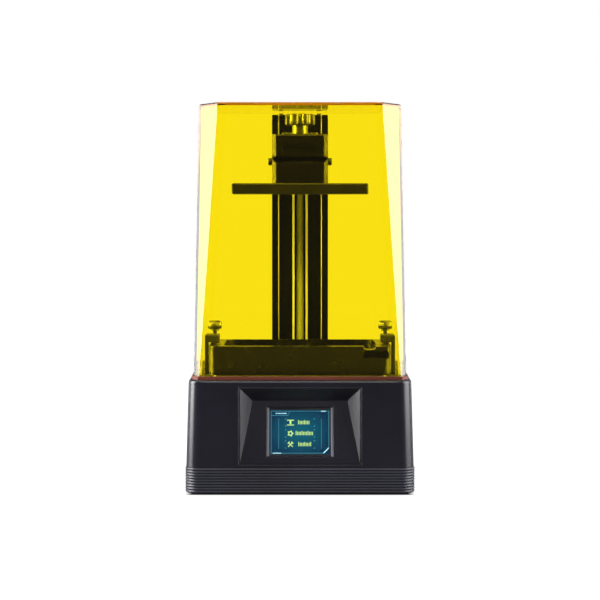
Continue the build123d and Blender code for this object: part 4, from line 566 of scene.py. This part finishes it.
# ------------------------------------------------------------------ the display's picture
PANEL_RISE, RECESS_DEPTH, WALL_RISE, WALL_LEAN = 60.5, 12.0, 85.5, 2.5
tilt = math.atan2(RECESS_DEPTH, PANEL_RISE) + math.atan2(WALL_LEAN, WALL_RISE)
panel_up = Vector((0, math.sin(tilt), math.cos(tilt)))
panel_out = Vector((1, 0, 0)).cross(panel_up)
GLASS_HALF_T, PICTURE_GAP = 0.65, 0.17
picture_at = centre_of("screen_glass") - panel_out * (GLASS_HALF_T + PICTURE_GAP) * MM


def on_screen(x, y, lift):
    """A point in millimetres across, up and out of the display's plane."""
    return picture_at + Vector((x * MM, 0, 0)) + panel_up * (y * MM) + panel_out * (lift * MM)


def plate_shape(outline, verts, faces, lift=0.0, thick=0.04):
    """A thin closed plate on the display, from an anticlockwise outline in millimetres."""
    start, count = len(verts), len(outline)
    verts.extend(on_screen(x, y, lift) for x, y in outline)
    verts.extend(on_screen(x, y, lift + thick) for x, y in outline)
    faces.append(tuple(start + i for i in reversed(range(count))))
    faces.append(tuple(start + count + i for i in range(count)))
    for i in range(count):
        j = (i + 1) % count
        faces.append((start + i, start + j, start + count + j, start + count + i))


def bar(x0, y0, x1, y1, width, verts, faces, lift=0.05):
    """A straight stroke from one point to another."""
    along = Vector((x1 - x0, y1 - y0)).normalized() * (width / 2)
    ax, ay = along.x, along.y
    outline = [(x0 - ax + ay, y0 - ay - ax), (x1 + ax + ay, y1 + ay - ax),
               (x1 + ax - ay, y1 + ay + ax), (x0 - ax - ay, y0 - ay + ax)]
    plate_shape(outline, verts, faces, lift)


def picture(name, material):
    """Collects shapes for one lit piece of the picture and makes it."""
    verts, faces = [], []

    def done():
        piece(name, verts, faces, material, "base")

    return verts, faces, done


# painted highlights: two light strips on the left and right edges of the screen's frame, where the frame
# catches the light
FRAME_GLINT_IN, FRAME_GLINT_OUT, FRAME_GLINT_HALF_H, FRAME_GLINT_LIFT, FRAME_GLINT_T = 30.2, 31.85, 23.8, 1.49, 0.12
verts, faces = [], []
for x0, x1 in ((-FRAME_GLINT_OUT, -FRAME_GLINT_IN), (FRAME_GLINT_IN, FRAME_GLINT_OUT)):
    strip = [(x0, -FRAME_GLINT_HALF_H), (x1, -FRAME_GLINT_HALF_H), (x1, FRAME_GLINT_HALF_H), (x0, FRAME_GLINT_HALF_H)]
    plate_shape(strip, verts, faces, FRAME_GLINT_LIFT, FRAME_GLINT_T)
piece("painted_frame_glints", verts, faces, MATERIALS["frame_glint"], "base")

SCREEN_HALF_W, SCREEN_HALF_H = 28.8, 21.6
FRAME_X, FRAME_Y, FRAME_CUT = 28.1, 20.6, 5.2
field_material = display_field("display_field", SCREEN_HALF_W * MM, SCREEN_HALF_H * MM, picture_at,
                               panel_up)
verts, faces, done = picture("display_picture", field_material)
plate_shape([(-SCREEN_HALF_W, -SCREEN_HALF_H), (SCREEN_HALF_W, -SCREEN_HALF_H),
             (SCREEN_HALF_W, SCREEN_HALF_H), (-SCREEN_HALF_W, SCREEN_HALF_H)], verts, faces)
done()

OUTLINE_W, TAB_Y, TAB_X, TAB_SLOPE = 0.3, FRAME_Y - 4.2, -12.0, 2.4
ROW_X, ROW_HALF, ROWS = 14.4, 3.8, (9.4, -1.3, -12.1)
HOOK, HOOK_W = 1.1, 0.28
RULE_X, RULE_LOW, RULE_HIGH, RULE_W = 20.8, -16.2, 13.2, 0.22
verts, faces, done = picture("display_outline", lit("display_line", (0.07, 0.42, 0.52), 1.0))
corners = [(-FRAME_X, FRAME_Y), (-FRAME_X, -FRAME_Y), (FRAME_X - FRAME_CUT, -FRAME_Y),
           (FRAME_X, -FRAME_Y + FRAME_CUT), (FRAME_X, FRAME_Y)]
for here, there in zip(corners, corners[1:] + corners[:1]):
    bar(*here, *there, OUTLINE_W, verts, faces)
bar(-FRAME_X, TAB_Y, TAB_X, TAB_Y, OUTLINE_W, verts, faces)
bar(TAB_X, TAB_Y, TAB_X + TAB_SLOPE, FRAME_Y, OUTLINE_W, verts, faces)
for side in (-1, 1):
    bar(side * RULE_X, RULE_LOW, side * RULE_X, RULE_HIGH, RULE_W, verts, faces)
    for row in ROWS:
        for edge in (-1, 1):
            y = row + edge * ROW_HALF
            bar(side * ROW_X, y, side * (ROW_X - HOOK), y, HOOK_W, verts, faces)
            bar(side * ROW_X, y, side * ROW_X, y - edge * HOOK, HOOK_W, verts, faces)
done()

RAISED, MARK_W, CORNER_W, CORNER_IN = 0.1, 0.75, 0.9, 0.4
DASH_X, DASH_UP, DASH_W, DASH_GAP, DASHES = -23.4, 2.0, 0.8, 1.1, (1.1, 2.2, 1.4, 1.9)
verts, faces, done = picture("display_highlights", lit("display_highlight", (0.45, 0.85, 0.9), 1.1))
bar(20.8, FRAME_Y, 25.0, FRAME_Y, MARK_W, verts, faces, RAISED)
bar(-26.2, -FRAME_Y, -18.8, -FRAME_Y, MARK_W, verts, faces, RAISED)
bar(FRAME_X - FRAME_CUT + CORNER_IN, -FRAME_Y + CORNER_IN, FRAME_X - CORNER_IN,
    -FRAME_Y + FRAME_CUT - CORNER_IN, CORNER_W, verts, faces, RAISED)
x = DASH_X
for length in DASHES:
    bar(x, TAB_Y + DASH_UP, x + length, TAB_Y + DASH_UP, DASH_W, verts, faces, RAISED)
    x += length + DASH_GAP
done()

ICON_X, ICON_R = -9.3, 3.0
STROKE_STEP, STROKE_W, STROKE_DROP, STROKE_H, STROKE_TALLER = 1.45, 0.75, 1.3, 2.6, 0.8
verts, faces, done = picture("display_menu", lit("display_menu", (0.52, 0.78, 0.2), 1.15))
# each row's label: plain upright strokes, every fourth one taller
for row, first, strokes in zip(ROWS, (-1.4, -3.8, -1.2), (8, 12, 9)):
    for stroke in range(strokes):
        x, tall = first + stroke * STROKE_STEP, STROKE_H + STROKE_TALLER * (stroke % 4 == 0)
        bar(x, row - STROKE_DROP, x, row - STROKE_DROP + tall, STROKE_W, verts, faces, RAISED)
# a tray with a print under its plate
tray = ROWS[0]
bar(ICON_X - ICON_R, tray - 2.4, ICON_X + ICON_R, tray - 2.4, 0.9, verts, faces, RAISED)
bar(ICON_X - ICON_R, tray + 2.3, ICON_X + ICON_R, tray + 2.3, 0.9, verts, faces, RAISED)
bar(ICON_X, tray + 1.4, ICON_X, tray - 0.6, 1.8, verts, faces, RAISED)
# a gear: a ring of short strokes with teeth
GEAR_SIDES, GEAR_R, TOOTH_R = 10, 1.75, 2.7
for tooth in range(GEAR_SIDES):
    turn, after = (math.radians(360 / GEAR_SIDES * k) for k in (tooth, tooth + 1))
    ring = [(ICON_X + GEAR_R * math.cos(a), ROWS[1] + GEAR_R * math.sin(a)) for a in (turn, after)]
    bar(*ring[0], *ring[1], 0.95, verts, faces, RAISED)
    if tooth % 2 == 0:
        tip = (ICON_X + TOOTH_R * math.cos(turn), ROWS[1] + TOOTH_R * math.sin(turn))
        bar(*ring[0], *tip, 0.9, verts, faces, 0.14)
# two crossed tools
for side in (-1, 1):
    bar(ICON_X - side * 2.0, ROWS[2] - 2.0, ICON_X + side * 1.6, ROWS[2] + 1.6, 0.85,
        verts, faces, RAISED + 0.05 * side)
    bar(ICON_X + side * 1.2, ROWS[2] + 2.3, ICON_X + side * 2.3, ROWS[2] + 1.2, 1.0, verts, faces, 0.2)
done()

# ------------------------------------------------------------------ camera, light and floor
CAMERA_AT, AIM = Vector((0, -2.083, 0.277)), Vector((0, -0.1135, 0.1906))
LENS, SENSOR_WIDTH = 122.0, 36.0
camera_data = bpy.data.cameras.new("camera")
camera_data.lens, camera_data.sensor_width = LENS, SENSOR_WIDTH
camera = bpy.data.objects.new("camera", camera_data)
camera.location = CAMERA_AT
camera.rotation_euler = (AIM - CAMERA_AT).to_track_quat("-Z", "Y").to_euler()
bpy.context.scene.collection.objects.link(camera)
bpy.context.scene.camera = camera


def soft_light(name, at, towards, size, watts):
    """A rectangular white softbox at one point that faces another."""
    data = bpy.data.lights.new(name, "AREA")
    data.shape, data.size, data.size_y = "RECTANGLE", size[0], size[1]
    data.energy = watts
    lamp = bpy.data.objects.new(name, data)
    lamp.location = at
    lamp.rotation_euler = (Vector(towards) - Vector(at)).to_track_quat("-Z", "Y").to_euler()
    bpy.context.scene.collection.objects.link(lamp)


soft_light("key", (-0.05, -1.5, 1.3), (0, 0, 0.2), (0.7, 0.6), 9)
soft_light("softbox_left", (-1.35, -0.1, 0.6), (0, -0.05, 0.2), (0.9, 1.22), 64)
soft_light("softbox_right", (1.3, -0.25, 0.6), (0, -0.05, 0.2), (1.2, 1.22), 46)
soft_light("behind_left", (-1.2, 0.97, 0.4), (0, 0, 0.22), (0.12, 1.1), 3.6)
soft_light("behind_right", (1.2, 0.97, 0.4), (0, 0, 0.22), (0.12, 1.1), 3.6)
soft_light("top", (0, 0.2, 1.7), (0, 0, 0.2), (1.2, 1.2), 18)

# The studio is white all round, but the light it sends back onto the object is turned down.
STUDIO_DIM = 0.22


def level(tree, dim, glow=None):
    """Full strength where it is looked at, straight or through glass, and dim where it lights or is
    mirrored. glow is how far a mirror under glass still sees it at full strength."""
    path = tree.nodes.new("ShaderNodeLightPath")
    bounced = tree.nodes.new("ShaderNodeMath")
    bounced.use_clamp = True
    tree.links.new(path.outputs["Diffuse Depth"], bounced.inputs[0])
    tree.links.new(path.outputs["Glossy Depth"], bounced.inputs[1])
    share = bounced.outputs["Value"]
    if glow is not None:
        under_glass = tree.nodes.new("ShaderNodeMath")
        under_glass.operation, under_glass.use_clamp = "MULTIPLY", True
        tree.links.new(path.outputs["Transmission Depth"], under_glass.inputs[0])
        tree.links.new(glow, under_glass.inputs[1])
        left = tree.nodes.new("ShaderNodeMath")
        left.operation, left.use_clamp = "SUBTRACT", True
        tree.links.new(share, left.inputs[0])
        tree.links.new(under_glass.outputs["Value"], left.inputs[1])
        share = left.outputs["Value"]
    strength = tree.nodes.new("ShaderNodeMapRange")
    strength.inputs["To Min"].default_value = 1.0
    strength.inputs["To Max"].default_value = dim
    tree.links.new(share, strength.inputs["Value"])
    return strength.outputs["Result"]


# Light sampling would take the studio and the floor at full strength, so it is off for both.
WALL_FROM, WALL_FULL = 0.1, 0.5
world = bpy.data.worlds.new("studio")
world.use_nodes = True
world.cycles.sampling_method = "NONE"
studio = world.node_tree
studio.nodes["Background"].inputs["Color"].default_value = (1, 1, 1, 1)
heading = studio.nodes.new("ShaderNodeTexCoord")
axes = studio.nodes.new("ShaderNodeSeparateXYZ")
studio.links.new(heading.outputs["Generated"], axes.inputs["Vector"])
backwall = studio.nodes.new("ShaderNodeMapRange")
backwall.inputs["From Min"].default_value = WALL_FROM
backwall.inputs["From Max"].default_value = WALL_FULL
studio.links.new(axes.outputs["Y"], backwall.inputs["Value"])
wall_strength = level(studio, STUDIO_DIM, backwall.outputs["Result"])
studio.links.new(wall_strength, studio.nodes["Background"].inputs["Strength"])
bpy.context.scene.world = world
bpy.context.scene.view_settings.view_transform = "Standard"

FLOOR_R, FLOOR_SIDES = 1.3, 96
SHADE_FROM, SHADE_TO = 0.106, 0.113


def pale_floor():
    """A round pale table top, as bright as the studio wall, barely uneven, and dark under the object."""
    n = Nodes("pale_floor")
    patches = n.remap(n.noise(3, 3), 0.0, 1.0)
    n.set(Base_Color=n.blend(patches, (0.04, 0.04, 0.04), (0.06, 0.06, 0.06)))
    n.set(Roughness=n.remap(n.noise(12, 4), 0.5, 0.62), Specular_IOR_Level=0.2)
    n.set(Emission_Color=(1.0, 1.0, 1.0))
    split = n.add("ShaderNodeSeparateXYZ")
    n.link(n.place, split.inputs["Vector"])
    off = n.math("MAXIMUM", *(n.math("ABSOLUTE", split.outputs[axis], 0) for axis in "XY"))
    open_floor = n.remap(off, 0.0, 1.0, SHADE_FROM, SHADE_TO)
    glow = n.math("MULTIPLY", level(n.tree, STUDIO_DIM), open_floor)
    n.link(glow, n.shader.inputs["Emission Strength"])
    n.ridge(n.noise(300, 2), 0.05, 0.0002)
    n.material.cycles.emission_sampling = "NONE"
    mesh = bpy.data.meshes.new("floor")
    rim = turned_ring((0, 0), 0, lambda turn: FLOOR_R, FLOOR_SIDES)
    mesh.from_pydata(rim, [], [tuple(range(len(rim)))])
    mesh.materials.append(n.material)
    floor = bpy.data.objects.new("floor", mesh)
    bpy.context.scene.collection.objects.link(floor)


pale_floor()
